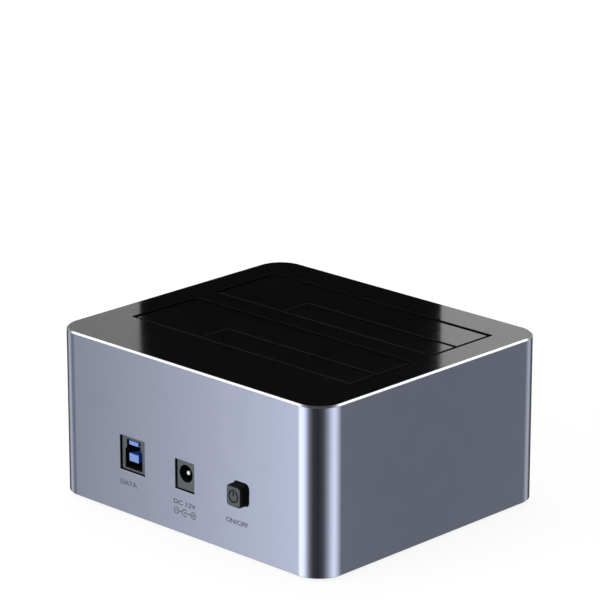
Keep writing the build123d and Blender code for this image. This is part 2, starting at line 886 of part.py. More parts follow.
def drive_receptacle(centre):
    """An upright receptacle with a signal slot, a power slot and a guide horn at each end."""
    middle = receptacle_y(centre)
    with BuildPart() as housing:
        with BuildSketch(Plane.XY.offset(main_board_top)):
            with Locations((receptacle_x, middle)):
                Rectangle(receptacle_length, receptacle_width)
        extrude(amount=receptacle_height)
        with BuildSketch(Plane.XY.offset(receptacle_top)):
            with Locations((receptacle_x, middle)):
                with GridLocations(receptacle_length - receptacle_horn_length, receptacle_width, 2, 1):
                    Rectangle(receptacle_horn_length, receptacle_width)
        extrude(amount=receptacle_horn_height)
        chamfer(
            housing.faces().sort_by(Axis.Z)[-2:].edges(),
            receptacle_horn_height / 4,
        )
        with BuildSketch(Plane.XY.offset(receptacle_top)):
            for slot_x, slot in (
                (signal_slot_x, receptacle_signal_slot),
                (power_slot_x, receptacle_power_slot),
            ):
                with Locations((slot_x, middle)):
                    Rectangle(slot, receptacle_slot_width)
                with Locations((slot_x + slot / 2, middle + receptacle_slot_width / 2)):
                    Rectangle(
                        receptacle_slot_width, receptacle_key, align=(Align.MAX, Align.MIN)
                    )
        extrude(amount=-receptacle_slot_depth, mode=Mode.SUBTRACT)
    return housing.part


def receptacle_contacts(centre):
    """The contact blades, standing against the near wall of each slot."""
    wall = receptacle_y(centre) - receptacle_slot_width / 2
    with BuildPart() as blades:
        with BuildSketch(Plane.XY.offset(receptacle_top - receptacle_slot_depth)):
            for slot_x, ways in ((signal_slot_x, signal_ways), (power_slot_x, power_ways)):
                with Locations((slot_x, wall + contact_thickness / 2)):
                    with GridLocations(contact_pitch, contact_pitch, ways, 1):
                        Rectangle(contact_width, contact_thickness)
        extrude(amount=contact_rise)
    return blades.part


for name, centre in bay_centres.items():
    save(drive_receptacle(centre), f"{name}_drive_receptacle")
    save(receptacle_contacts(centre), f"{name}_receptacle_contacts")

# Data socket. Each sketch looks at the socket face, with X across and Z up.
front_plane = Plane.XZ.offset(-socket_front)
data_cavity_bottom = port_board_top + data_sleeve_wall + data_bottom_wall
data_cavity_step = data_cavity_bottom + data_plug_height
with BuildPart() as data_sleeve:
    with BuildSketch(front_plane):
        with Locations((data_x, data_axis)):
            Rectangle(data_width, data_height)
    extrude(amount=-data_length)
    with BuildSketch(front_plane):
        with Locations((data_x, data_axis)):
            Rectangle(data_width - 2 * data_sleeve_wall, data_height - 2 * data_sleeve_wall)
    extrude(amount=-data_length + data_sleeve_wall, mode=Mode.SUBTRACT)
save(data_sleeve.part, "data_socket_sleeve")

with BuildPart() as data_housing:
    with BuildSketch(front_plane):
        with Locations((data_x, data_axis)):
            Rectangle(data_width - 2 * data_sleeve_wall, data_height - 2 * data_sleeve_wall)
    extrude(amount=-data_length + data_sleeve_wall)
    with BuildSketch(front_plane):
        with BuildLine():
            Polyline(
                (data_x - data_plug_width / 2, data_cavity_bottom),
                (data_x + data_plug_width / 2, data_cavity_bottom),
                (data_x + data_plug_width / 2, data_cavity_step - data_plug_bevel),
                (data_x + data_top_width / 2, data_cavity_step),
                (data_x + data_top_width / 2, data_cavity_step + data_top_height),
                (data_x - data_top_width / 2, data_cavity_step + data_top_height),
                (data_x - data_top_width / 2, data_cavity_step),
                (data_x - data_plug_width / 2, data_cavity_step - data_plug_bevel),
                close=True,
            )
        make_face()
    extrude(amount=-data_cavity_depth, mode=Mode.SUBTRACT)
save(data_housing.part, "data_socket_housing")

data_block_z = data_cavity_bottom + data_block_lift
data_tongue_z = data_cavity_bottom + data_tongue_lift
data_back_y = socket_front + data_cavity_depth
data_tongue_plane = Plane.XZ.offset(-socket_front - data_tongue_setback)
data_tongue_length = data_cavity_depth - data_tongue_setback
with BuildPart() as data_insulator:
    with BuildSketch(data_tongue_plane):
        with Locations((data_x, data_block_z)):
            Rectangle(data_block_width, data_block_height, align=(Align.CENTER, Align.MIN))
        with Locations((data_x, data_tongue_z)):
            Rectangle(data_block_width, data_tongue_height, align=(Align.CENTER, Align.MIN))
    extrude(amount=-data_tongue_length)
    with BuildSketch(Plane.XZ.offset(-data_back_y)):
        with Locations((data_x, data_block_z)):
            Rectangle(
                data_block_width,
                data_tongue_z + data_tongue_height - data_block_z,
                align=(Align.CENTER, Align.MIN),
            )
    extrude(amount=data_insulator_back)
save(data_insulator.part, "data_socket_insulator")

data_contact_plane = Plane.XZ.offset(-socket_front - data_contact_setback)
data_contact_length = data_cavity_depth - data_insulator_back - data_contact_setback
with BuildPart() as data_contacts:
    with BuildSketch(data_contact_plane):
        with Locations((data_x, data_tongue_z)):
            with GridLocations(
                data_tongue_contact_pitch, data_tongue_height, data_tongue_contact_count, 1
            ):
                Rectangle(
                    data_contact_width, data_contact_thickness, align=(Align.CENTER, Align.MAX)
                )
        with Locations((data_x, data_block_z)):
            with GridLocations(data_contact_pitch, data_block_height, 2, 1):
                Rectangle(
                    data_contact_width, data_contact_thickness, align=(Align.CENTER, Align.MAX)
                )
        with Locations((data_x, data_block_z + data_block_height)):
            with GridLocations(data_contact_pitch, data_block_height, 2, 1):
                Rectangle(
                    data_contact_width, data_contact_thickness, align=(Align.CENTER, Align.MIN)
                )
    extrude(amount=-data_contact_length)
save(data_contacts.part, "data_socket_contacts")

# Power socket
jack_floor = socket_front + jack_hole_depth
with BuildPart() as jack_body:
    with BuildSketch(front_plane):
        with Locations((jack_x, port_board_top)):
            Rectangle(jack_width, jack_height, align=(Align.CENTER, Align.MIN))
    extrude(amount=-jack_length)
    with BuildSketch(front_plane):
        with Locations((jack_x, jack_axis)):
            Circle(jack_hole_radius)
    extrude(amount=-jack_hole_depth, mode=Mode.SUBTRACT)
    mouth = jack_body.edges().filter_by(GeomType.CIRCLE).sort_by(Axis.Y)[0]
    chamfer(mouth, jack_mouth_bevel)
    # Groove for the spring contact, along the bottom of the hole
    with BuildSketch(Plane.XZ.offset(-jack_floor)):
        with Locations((jack_x, jack_axis - jack_hole_radius - jack_spring_thickness)):
            Rectangle(
                jack_spring_width + 2 * fit_gap,
                jack_hole_radius,
                align=(Align.CENTER, Align.MIN),
            )
    extrude(amount=jack_spring_length, mode=Mode.SUBTRACT)
save(jack_body.part, "power_socket_body")

with BuildPart() as jack_pin:
    with BuildSketch(Plane.XZ.offset(-jack_floor)):
        with Locations((jack_x, jack_axis)):
            Circle(jack_pin_radius)
    extrude(amount=jack_hole_depth - jack_pin_setback)
    tip = jack_pin.edges().filter_by(GeomType.CIRCLE).sort_by(Axis.Y)[0]
    fillet(tip, jack_pin_radius / 2)
    with BuildSketch(Plane.XZ.offset(-jack_floor)):
        with Locations((jack_x, jack_axis)):
            Circle(jack_pin_shoulder)
    extrude(amount=jack_pin_radius)
save(jack_pin.part, "power_socket_pin")

with BuildPart() as jack_spring:
    with BuildSketch(Plane.XZ.offset(-jack_floor)):
        with Locations((jack_x, jack_axis - jack_hole_radius - jack_spring_thickness)):
            Rectangle(
                jack_spring_width, 2 * jack_spring_thickness, align=(Align.CENTER, Align.MIN)
            )
    extrude(amount=jack_spring_length)
save(jack_spring.part, "power_socket_spring")

# Push switch, plunger and button
button_front = -half_width - button_proud
flange_front = -half_width + shell_wall + button_flange_gap
flange_rear = flange_front + button_flange_thickness
switch_front = flange_rear + button_travel + switch_stop
plunger_front = button_front + button_wall
switch_bore = plunger_reach + button_travel + switch_stop
button_plane = Plane.XZ.offset(-button_front)
with BuildPart() as switch_body:
    with BuildSketch(Plane.XZ.offset(-switch_front)):
        with Locations((button_x, port_board_top)):
            Rectangle(switch_width, switch_height, align=(Align.CENTER, Align.MIN))
    extrude(amount=-(switch_bore + switch_bore_floor))
    with BuildSketch(Plane.XZ.offset(-switch_front)):
        with Locations((button_x, button_axis)):
            Rectangle(plunger_size + 2 * plunger_gap, plunger_size + 2 * plunger_gap)
    extrude(amount=-switch_bore, mode=Mode.SUBTRACT)
save(switch_body.part, "power_switch_body")

with BuildPart() as switch_plunger:
    with BuildSketch(Plane.XZ.offset(-plunger_front)):
        with Locations((button_x, button_axis)):
            Rectangle(plunger_size, plunger_size)
    extrude(amount=-(switch_front + plunger_reach - plunger_front))
save(switch_plunger.part, "power_switch_plunger")

with BuildPart() as power_button:
    with BuildSketch(button_plane):
        with Locations((button_x, button_axis)):
            RectangleRounded(button_width, button_height, button_corner_radius)
    extrude(amount=-(flange_rear - button_front))
    fillet(power_button.faces().sort_by(Axis.Y)[0].edges(), button_edge)
    with BuildSketch(Plane.XZ.offset(-flange_front)):
        with Locations((button_x, button_axis)):
            RectangleRounded(
                button_width + 2 * button_flange,
                button_height + 2 * button_flange,
                button_corner_radius,
            )
    extrude(amount=-button_flange_thickness)
    with BuildSketch(Plane.XZ.offset(-plunger_front)):
        with Locations((button_x, button_axis)):
            Rectangle(button_width - 2 * button_wall, button_height - 2 * button_wall)
    extrude(amount=-(flange_rear - plunger_front), mode=Mode.SUBTRACT)
    # Power symbol, an open ring with a bar
    with BuildSketch(button_plane):
        with Locations((button_x, button_axis)):
            Circle(power_mark_radius)
            Circle(power_mark_radius - power_mark_stroke, mode=Mode.SUBTRACT)
            Rectangle(
                power_mark_radius * power_mark_gap_share,
                power_mark_radius,
                align=(Align.CENTER, Align.MIN),
                mode=Mode.SUBTRACT,
            )
            Rectangle(
                power_mark_stroke,
                power_mark_radius + power_mark_stroke / 2,
                align=(Align.CENTER, Align.MIN),
            )
    extrude(amount=-power_mark_depth, mode=Mode.SUBTRACT)
save(power_button.part, "power_button")


def board_part(places, length, width, height, corner=0):
    """Plain bodies standing on the main board."""
    with BuildPart() as bodies:
        with BuildSketch(Plane.XY.offset(main_board_top)):
            with Locations(*places):
                if corner:
                    RectangleRounded(length, width, corner)
                else:
                    Rectangle(length, width)
        extrude(amount=height)
    return bodies.part


def legged_chip(places, length, width, height):
    """Chip bodies with legs along two sides, on the main board."""
    ways = int(length / chip_leg_pitch)
    with BuildPart() as chips:
        with BuildSketch(Plane.XY.offset(main_board_top)):
            with Locations(*places):
                Rectangle(length, width)
        extrude(amount=height)
        with BuildSketch(Plane.XY.offset(main_board_top)):
            with Locations(*places):
                with GridLocations(chip_leg_pitch, width + chip_leg_reach, ways, 2):
                    Rectangle(chip_leg_width, chip_leg_reach)
        extrude(amount=chip_leg_height)
    return chips.part


# Electronic parts, in the half of the board away from the receptacles
chip_x = -parts_spacing
coil_x = -2 * parts_spacing
save(
    board_part([(chip_x, bays_offset)], bridge_chip_size, bridge_chip_size, bridge_chip_height),
    "bridge_chip",
)
save(
    legged_chip(
        [(chip_x, bays_offset + parts_spacing)],
        memory_chip_length,
        memory_chip_width,
        memory_chip_height,
    ),
    "memory_chip",
)
save(
    board_part([(chip_x, bays_offset - parts_spacing)], crystal_length, crystal_width, crystal_height),
    "clock_crystal",
)
save(
    legged_chip(
        [(coil_x, centre - inductor_size) for centre in bay_centres.values()],
        regulator_length,
        regulator_width,
        regulator_height,
    ),
    "regulator_chips",
)
save(
    board_part(
        [(coil_x, centre + inductor_size / 2) for centre in bay_centres.values()],
        inductor_size,
        inductor_size,
        inductor_height,
        inductor_corner,
    ),
    "power_inductors",
)
ceramic_start = receptacle_x - (ceramic_count - 1) / 2 * ceramic_pitch
save(
    board_part(
        [
            (ceramic_start + place * ceramic_pitch, receptacle_y(centre) + receptacle_width)
            for centre in bay_centres.values()
            for place in range(ceramic_count)
        ],
        ceramic_width,
        ceramic_length,
        ceramic_height,
    ),
    "ceramic_capacitors",
)

# Electrolytic capacitors, standing between the far well and the rear wall
electrolytic_y = main_board_y1 - electrolytic_edge - electrolytic_base / 2
electrolytic_places = [
    (side * (main_post_x - electrolytic_offset - step * electrolytic_pitch), electrolytic_y)
    for side in (-1, 1)
    for step in (0, 1)
]
with BuildPart() as electrolytics:
    with BuildSketch(Plane.XY.offset(main_board_top)):
        with Locations(*electrolytic_places):
            Rectangle(electrolytic_base, electrolytic_base)
    extrude(amount=electrolytic_base_height)
    with BuildSketch(Plane.XY.offset(main_board_top)):
        with Locations(*electrolytic_places):
            Circle(electrolytic_radius)
    extrude(amount=electrolytic_height)
    rims = electrolytics.edges().filter_by(GeomType.CIRCLE).group_by(Axis.Z)[-1]
    chamfer(rims, electrolytic_groove)
save(electrolytics.part, "electrolytic_capacitors")

# Status lamps and light pipes
with BuildPart() as status_lamps:
    with BuildSketch(Plane.XY.offset(main_board_top)):
        with Locations(*[(place, main_board_y1 - lamp_depth / 2) for place in lamp_places]):
            Rectangle(lamp_width, lamp_depth)
    extrude(amount=lamp_height)
save(status_lamps.part, "status_lamps")

with BuildPart() as light_pipes:
    with BuildSketch(Plane.XZ.offset(-main_board_y1)):
        with Locations(*[(place, lamp_axis) for place in lamp_places]):
            Circle(pipe_radius)
    extrude(amount=-(half_width + pipe_proud - main_board_y1))
    chamfer(light_pipes.edges().group_by(Axis.Y)[-1], pipe_proud)
    with BuildSketch(Plane.XZ.offset(-half_width + shell_wall)):
        with Locations(*[(place, lamp_axis) for place in lamp_places]):
            Circle(pipe_collar_radius)
    extrude(amount=pipe_collar)
save(light_pipes.part, "light_pipes")
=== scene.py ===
"""Dresses a two-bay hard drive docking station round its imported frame.

The shell is a fine surface of its own, the small marks beside the sockets are thin prints,
and every other piece keeps its solid and gets a finish. Lengths are in millimetres until a
mesh is made, angles are in degrees, and lengths inside a finish are in metres.
"""

import logging
import math
from dataclasses import dataclass, field, replace
from enum import Enum
from typing import ClassVar, Union

import bpy
import numpy as np
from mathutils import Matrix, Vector
from mathutils.geometry import delaunay_2d_cdt


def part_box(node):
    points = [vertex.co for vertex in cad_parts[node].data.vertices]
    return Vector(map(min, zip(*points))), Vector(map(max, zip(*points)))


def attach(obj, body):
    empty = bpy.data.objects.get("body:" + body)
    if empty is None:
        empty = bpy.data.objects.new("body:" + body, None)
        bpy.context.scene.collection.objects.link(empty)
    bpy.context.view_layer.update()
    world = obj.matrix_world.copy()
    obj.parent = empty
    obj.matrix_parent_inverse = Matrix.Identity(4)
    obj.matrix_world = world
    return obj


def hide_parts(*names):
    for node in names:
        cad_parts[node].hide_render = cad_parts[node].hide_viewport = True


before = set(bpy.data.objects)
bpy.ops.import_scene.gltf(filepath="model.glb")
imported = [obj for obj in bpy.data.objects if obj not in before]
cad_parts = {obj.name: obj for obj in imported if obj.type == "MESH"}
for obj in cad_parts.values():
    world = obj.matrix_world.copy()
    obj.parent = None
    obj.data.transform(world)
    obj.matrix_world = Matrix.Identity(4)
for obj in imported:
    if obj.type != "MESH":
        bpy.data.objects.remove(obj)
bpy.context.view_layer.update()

LOG = logging.getLogger("docking_station")
METRES_PER_MM = 0.001
FILL_TOLERANCE = 1e-6
Colour = tuple[int, int, int]
Pair = tuple[float, float]
Triple = tuple[float, float, float]
Stops = tuple[Pair, ...]
Socket = bpy.types.NodeSocket
Value = Union[Socket, float]


def linear(colour: Colour) -> tuple[float, float, float, float]:
    """Turns a screen colour into a linear one.

    As a share of 255, a channel up to 0.04045 is divided by 12.92, and a higher one becomes
    the share plus 0.055, over 1.055, to the power 2.4.

    Args:
        colour: red, green and blue from 0 to 255.

    Returns:
        The linear red, green and blue, and a full alpha.
    """
    share = np.array(colour) / 255.0
    curved = np.where(share <= 0.04045, share / 12.92, ((share + 0.055) / 1.055) ** 2.4)
    return (*curved.tolist(), 1.0)


def grey(level: float) -> tuple[float, float, float, float]:
    """A linear grey with full alpha."""
    return (level, level, level, 1.0)


def lightened(colour: Colour, factor: float) -> Colour:
    """Scales a screen colour, kept inside 0 to 255."""
    return tuple(int(min(255, max(0, round(channel * factor)))) for channel in colour)


def node_box(node: str) -> tuple[np.ndarray, np.ndarray]:
    """Gives the lowest and highest corner of a frame node, in millimetres."""
    low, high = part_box(node)
    return np.array(low) / METRES_PER_MM, np.array(high) / METRES_PER_MM


def under(node: str, shift: float, drop: float) -> Pair:
    """A place (x, z): beside a node's middle by a shift along X, below its foot by a drop."""
    low, high = node_box(node)
    return (low[0] + high[0]) / 2 + shift, low[2] - drop


def to_scene(name: str, data: bpy.types.ID) -> bpy.types.Object:
    """Makes an object and puts it in the scene.

    Args:
        name: the object's name.
        data: its mesh, curve, light or camera.

    Returns:
        The object, at the origin.
    """
    thing = bpy.data.objects.new(name, data)
    bpy.context.scene.collection.objects.link(thing)
    return thing


class Relief(Enum):
    """The fine relief that a surface carries."""

    POLISHED = "polished"
    BLASTED = "blasted"
    MOULDED = "moulded"
    TURNED = "turned"
    DRAWN = "drawn"


EVEN: Triple = (1.0, 1.0, 1.0)
GRAIN_STRETCH: dict[Relief, Triple] = {Relief.TURNED: (1.0, 1.0, 8.0), Relief.DRAWN: (0.05, 1.0, 1.0)}


class Nodes:
    """A shader tree's nodes, written in few words."""

    NOISE_MIDDLE: ClassVar[Pair] = (0.3, 0.7)
    MIX_INPUTS: ClassVar[tuple[int, int, int]] = (0, 6, 7)
    MIX_RESULT: ClassVar[int] = 2

    def __init__(self, tree: bpy.types.NodeTree) -> None:
        """Takes the tree of a material or of the world."""
        self.tree = tree

    def join(self, source: Socket, target: Socket) -> None:
        """Links an output to an input."""
        self.tree.links.new(source, target)

    def add(self, kind: str, inputs: dict | None = None, **settings) -> bpy.types.Node:
        """Adds a node.

        Args:
            kind: Blender's name of the node type.
            inputs: value or output socket for each input, by name or number.
            settings: the node's own options.

        Returns:
            The new node.
        """
        node = self.tree.nodes.new(kind)
        for key, value in settings.items():
            setattr(node, key, value)
        for key, value in (inputs or {}).items():
            if isinstance(value, Socket):
                self.join(value, node.inputs[key])
            else:
                node.inputs[key].default_value = value
        return node

    def math(self, operation: str, *values: Value) -> Socket:
        """Adds a Math node for numbers or sockets and returns its output."""
        return self.add("ShaderNodeMath", dict(enumerate(values)), operation=operation).outputs[0]

    def inverse(self, share: Socket) -> Socket:
        """One less a share."""
        return self.math("SUBTRACT", 1.0, share)

    def between(self, first: Value, second: Value, share: Socket) -> Socket:
        """First times one less the share, plus second times the share."""
        kept = self.math("MULTIPLY", first, self.inverse(share))
        return self.math("ADD", kept, self.math("MULTIPLY", second, share))

    def step(self, angle: Socket, low: float, high: float) -> Socket:
        """Adds a smooth step from 0 at a low angle to 1 at a high one, for an angle in radians."""
        inputs = {"Value": angle, "From Min": math.radians(low), "From Max": math.radians(high)}
        return self.add("ShaderNodeMapRange", inputs, interpolation_type="SMOOTHSTEP").outputs[0]

    def ramp(self, share: Socket, stops: Stops, peak: float) -> Socket:
        """Adds a ramp from an angle to a light's strength.

        Args:
            share: the angle as a share of the stops' whole reach.
            stops: pairs of angle and strength.
            peak: a strength that no stop passes.

        Returns:
            The strength.
        """
        node = self.add("ShaderNodeValToRGB", {0: share})
        elements = node.color_ramp.elements
        low, high = stops[0][0], stops[-1][0]
        while len(elements) < len(stops):
            elements.new(1.0)
        for element, (angle, strength) in zip(elements, stops):
            element.position = (angle - low) / (high - low)
            element.color = grey(strength / peak)
        return self.math("MULTIPLY", node.outputs[0], peak)

    def spread(self, noise: Socket, low: float, high: float) -> Socket:
        """Maps a noise's middle range onto another range.

        Args:
            noise: noise from 0 to 1.
            low: the result at the foot of the middle range.
            high: the result at its top.

        Returns:
            The result.
        """
        inputs = {"Value": noise, "From Min": self.NOISE_MIDDLE[0], "From Max": self.NOISE_MIDDLE[1],
                  "To Min": low, "To Max": high}
        return self.add("ShaderNodeMapRange", inputs).outputs[0]

    def blend(self, factor: Socket, first: Socket | tuple, second: Socket | tuple) -> Socket:
        """Mixes two colours, or two colour outputs, by a factor."""
        inputs = dict(zip(self.MIX_INPUTS, (factor, first, second)))
        return self.add("ShaderNodeMix", inputs, data_type="RGBA").outputs[self.MIX_RESULT]


class SurfaceNodes(Nodes):
    """A new material's nodes, with its surface shader and its place on the object."""

    def __init__(self, name: str) -> None:
        """Starts a material.

        Args:
            name: the material's name.
        """
        self.material = bpy.data.materials.new(name)
        self.material.use_nodes = True
        super().__init__(self.material.node_tree)
        self.surface = self.tree.nodes["Principled BSDF"]
        self.place = self.add("ShaderNodeTexCoord").outputs["Object"]

    def put(self, **values: float | tuple) -> None:
        """Sets inputs of the surface shader, where Coat_Weight stands for Coat Weight."""
        for key, value in values.items():
            self.surface.inputs[key.replace("_", " ")].default_value = value

    def link(self, source: Socket, target: str) -> None:
        """Links an output to an input of the surface shader."""
        self.join(source, self.surface.inputs[target])

    def feeding(self, target: str) -> Socket:
        """The output that an input of the surface shader is linked to."""
        return self.surface.inputs[target].links[0].from_socket

    def noise(self, waves: float, layers: float, stretch: Triple = EVEN) -> Socket:
        """Adds noise on the object's place.

        Args:
            waves: waves per metre.
            layers: finer layers of noise.
            stretch: factor on each axis, under 1 for grain along that axis.

        Returns:
            The noise, from 0 to 1.
        """
        mapped = self.add("ShaderNodeMapping", {"Vector": self.place, "Scale": stretch})
        inputs = {"Vector": mapped.outputs[0], "Scale": waves, "Detail": layers}
        return self.add("ShaderNodeTexNoise", inputs).outputs[0]

    def bump(self, height: Socket, depth: float) -> None:
        """Raises the surface by a height of 0 to 1 times a depth in metres."""
        node = self.add("ShaderNodeBump", {"Height": height, "Distance": depth, "Strength": 1.0})
        self.link(node.outputs[0], "Normal")


@dataclass(frozen=True)
class Finish:
    """A plain finish: a colour that wanders a little, a roughness and a fine relief."""

    name: str
    colour: Colour
    roughness: float
    metallic: float = 0.0
    relief: Relief = Relief.MOULDED
    grain: float = 2500.0
    depth: float = 2e-6
    colour_spread: float = 0.06
    roughness_spread: float = 0.04
    index: float = 1.5
    coat: float = 0.0
    cloud_noise: Pair = (90.0, 3.0)
    wear_noise: Pair = (400.0, 4.0)
    grain_layers: float = 2.0

    def on(self, node: str) -> "Finish":
        """The finish as the given frame node wears it."""
        return self

    def material(self) -> bpy.types.Material:
        """Makes the finish's material.

        Returns:
            The material.
        """
        nodes = SurfaceNodes(self.name)
        self.base(nodes)
        self.gloss(nodes)
        self.surface_relief(nodes)
        return nodes.material

    def base(self, nodes: SurfaceNodes) -> None:
        """Colour that wanders between a lighter and a darker shade over a few millimetres.

        Args:
            nodes: the material's nodes.
        """
        light = linear(lightened(self.colour, 1 + self.colour_spread))
        dark = linear(lightened(self.colour, 1 - self.colour_spread))
        cloud = nodes.spread(nodes.noise(*self.cloud_noise), 0.0, 1.0)
        nodes.link(nodes.blend(cloud, dark, light), "Base Color")
        nodes.put(Metallic=self.metallic, IOR=self.index, Coat_Weight=self.coat)

    def gloss(self, nodes: SurfaceNodes) -> None:
        """Roughness that varies by a small amount, as handling and moulding leave it.

        Args:
            nodes: the material's nodes.
        """
        wear = nodes.noise(*self.wear_noise)
        low = max(0.0, self.roughness - self.roughness_spread)
        nodes.link(nodes.spread(wear, low, self.roughness + self.roughness_spread), "Roughness")

    def surface_relief(self, nodes: SurfaceNodes) -> None:
        """Fine relief: grain for moulded and blasted faces, lines for turned and drawn ones.

        Args:
            nodes: the material's nodes.
        """
        if self.relief is Relief.POLISHED:
            return
        stretch = GRAIN_STRETCH.get(self.relief, EVEN)
        nodes.bump(nodes.noise(self.grain, self.grain_layers, stretch), self.depth)


@dataclass(frozen=True)
class PaintedFrontLightFinish(Finish):
    """A finish whose foremost face, towards -Y, carries painted light: a second colour for how that face is
    lit.
    """

    painted_front_light: Colour = (100, 103, 103)
    painted_light_setback: float = 5e-5
    painted_light_blend: float = 2e-5
    face_y: float = 0.0

    def on(self, node: str) -> "PaintedFrontLightFinish":
        """Puts the edge of the painted light just behind the node's foremost face."""
        front = node_box(node)[0][1] * METRES_PER_MM
        return replace(self, name=f"{self.name}_{node}", face_y=front + self.painted_light_setback)

    def base(self, nodes: SurfaceNodes) -> None:
        """Mixes the painted front light in front of a plane square to Y.

        Args:
            nodes: the material's nodes.
        """
        super().base(nodes)
        along = nodes.add("ShaderNodeSeparateXYZ", {0: nodes.place}).outputs["Y"]
        inputs = {"Value": along, "From Min": self.face_y + self.painted_light_blend,
                  "From Max": self.face_y - self.painted_light_blend}
        front = nodes.add("ShaderNodeMapRange", inputs).outputs[0]
        # Painted light: the front face's colour stands in for how that face is lit, lighter on the plastics
        # and darker on the nickel sleeve.
        face = nodes.blend(front, nodes.feeding("Base Color"), linear(self.painted_front_light))
        nodes.link(face, "Base Color")


@dataclass(frozen=True)
class EdgedFinish(Finish):
    """A polished finish whose cut edges, at 45 degrees to the top, are left satin."""

    edge_rise: float = math.sqrt(0.5)
    edge_reach: float = 0.1
    edge_roughness: float = 0.5
    edge_specular: float = 0.1
    face_specular: float = 0.5

    def gloss(self, nodes: SurfaceNodes) -> None:
        """Roughness and reflection that change where the surface slopes like a cut edge.

        Args:
            nodes: the material's nodes.
        """
        super().gloss(nodes)
        facing = nodes.add("ShaderNodeTexCoord").outputs["Normal"]
        rise = nodes.math("ABSOLUTE", nodes.add("ShaderNodeSeparateXYZ", {0: facing}).outputs["Z"])
        edge = nodes.math("COMPARE", rise, self.edge_rise, self.edge_reach)
        satin = nodes.math("MULTIPLY", edge, self.edge_roughness)
        nodes.link(nodes.math("MAXIMUM", nodes.feeding("Roughness"), satin), "Roughness")
        drop = nodes.math("MULTIPLY", edge, self.edge_specular - self.face_specular)
        nodes.link(nodes.math("ADD", drop, self.face_specular), "Specular IOR Level")


@dataclass(frozen=True)
class ClearFinish(Finish):
    """Clear moulded plastic, a little cloudy inside."""

    transmission: float = 0.85

    def base(self, nodes: SurfaceNodes) -> None:
        """Adds the transmission to the plain base."""
        super().base(nodes)
        nodes.put(Transmission_Weight=self.transmission)


@dataclass(frozen=True)
class BoardFinish(Finish):
    """Solder mask over copper: darker laminate with lighter tracks on a square lattice."""

    track_pitch: float = 0.0012
    track_share: float = 0.3
    track_lightening: float = 1.7
    track_run: float = 0.12
    patch_noise: Pair = (160.0, 0.0)
    patch_limit: float = 0.55

    def base(self, nodes: SurfaceNodes) -> None:
        """Lays broken lines of lighter mask along X and along Y.

        A line runs where the place over the pitch has a fraction below the track's share, and
        it is broken where a noise drawn out along it falls below the limit.

        Args:
            nodes: the material's nodes.
        """
        super().base(nodes)
        split = nodes.add("ShaderNodeSeparateXYZ", {0: nodes.place})
        tracks = []
        for axis, stretch in (("X", (1.0, self.track_run, 1.0)), ("Y", (self.track_run, 1.0, 1.0))):
            phase = nodes.math("FRACT", nodes.math("DIVIDE", split.outputs[axis], self.track_pitch))
            line = nodes.math("LESS_THAN", phase, self.track_share)
            patches = nodes.math("GREATER_THAN", nodes.noise(*self.patch_noise, stretch), self.patch_limit)
            tracks.append(nodes.math("MULTIPLY", line, patches))
        track_colour = linear(lightened(self.colour, self.track_lightening))
        copper = nodes.blend(nodes.math("MAXIMUM", *tracks), nodes.feeding("Base Color"), track_colour)
        nodes.link(copper, "Base Color")


ANODISED = Finish("anodised_aluminium", (146, 151, 170), 0.13, metallic=1.0, relief=Relief.BLASTED,
                  grain=9000.0, depth=4e-7, colour_spread=0.004, roughness_spread=0.004)
BRIGHT_CUT = Finish("bright_cut_edge", (232, 234, 241), 0.16, metallic=1.0, relief=Relief.TURNED,
                    depth=3e-7, colour_spread=0.01, roughness_spread=0.03)
GLOSS_BLACK = EdgedFinish("gloss_black", (15, 15, 16), 0.11, relief=Relief.POLISHED,
                          colour_spread=0.1, roughness_spread=0.02)
BLACK_PLASTIC = Finish("black_plastic", (26, 26, 28), 0.46, grain=3200.0, depth=6e-6)
# Painted light: the lighter front faces of the socket plastic and the button stand in for light and
# reflection on those faces, over darker bodies.
SOCKET_PLASTIC = PaintedFrontLightFinish("socket_plastic", (20, 20, 22), 0.42, painted_front_light=(65, 70, 73))
BUTTON_PLASTIC = PaintedFrontLightFinish("button_plastic", (5, 5, 6), 0.5, grain=5000.0, index=1.25,
                             painted_front_light=(78, 83, 85), painted_light_setback=4e-5)
WHITE_PLASTIC = Finish("white_plastic", (216, 216, 211), 0.4, depth=3e-6)
RUBBER = Finish("rubber", (30, 30, 31), 0.78, grain=4200.0, depth=1.2e-5)
SCREW_STEEL = Finish("screw_steel", (84, 84, 88), 0.34, metallic=1.0, relief=Relief.TURNED, depth=1e-6)
SPRING_STEEL = Finish("spring_steel", (186, 187, 190), 0.26, metallic=1.0, relief=Relief.DRAWN, depth=1e-6)
BOARD_GREEN = BoardFinish("board_green", (22, 84, 48), 0.3, relief=Relief.POLISHED, coat=0.4)
PLATED_CONTACT = Finish("plated_contact", (222, 186, 112), 0.2, metallic=1.0, relief=Relief.DRAWN,
                        depth=5e-7)
# Painted shade: the nickel sleeve's darker front face stands in for shade on it.
NICKEL = PaintedFrontLightFinish("nickel_sleeve", (128, 131, 130), 0.3, metallic=1.0, relief=Relief.DRAWN,
                     depth=8e-7, painted_front_light=(76, 78, 82))
# Painted light: the blue insulator's lighter front face stands in for light on it.
BLUE_PLASTIC = PaintedFrontLightFinish("blue_plastic", (38, 78, 184), 0.36, grain=3600.0, depth=3e-6,
                           painted_front_light=(112, 144, 208))
CHIP_BLACK = Finish("chip_black", (34, 34, 36), 0.55, grain=5200.0, depth=4e-6)
COMPONENT_TAN = Finish("component_tan", (176, 141, 98), 0.45)
COMPONENT_METAL = Finish("component_metal", (196, 197, 200), 0.28, metallic=1.0, relief=Relief.TURNED,
                         depth=1e-6)
LAMP_LENS = ClearFinish("lamp_lens", (236, 240, 244), 0.18, relief=Relief.POLISHED, index=1.49)
PRINT_INK = Finish("print_ink", (74, 76, 92), 0.5, grain=8000.0, depth=1e-6)


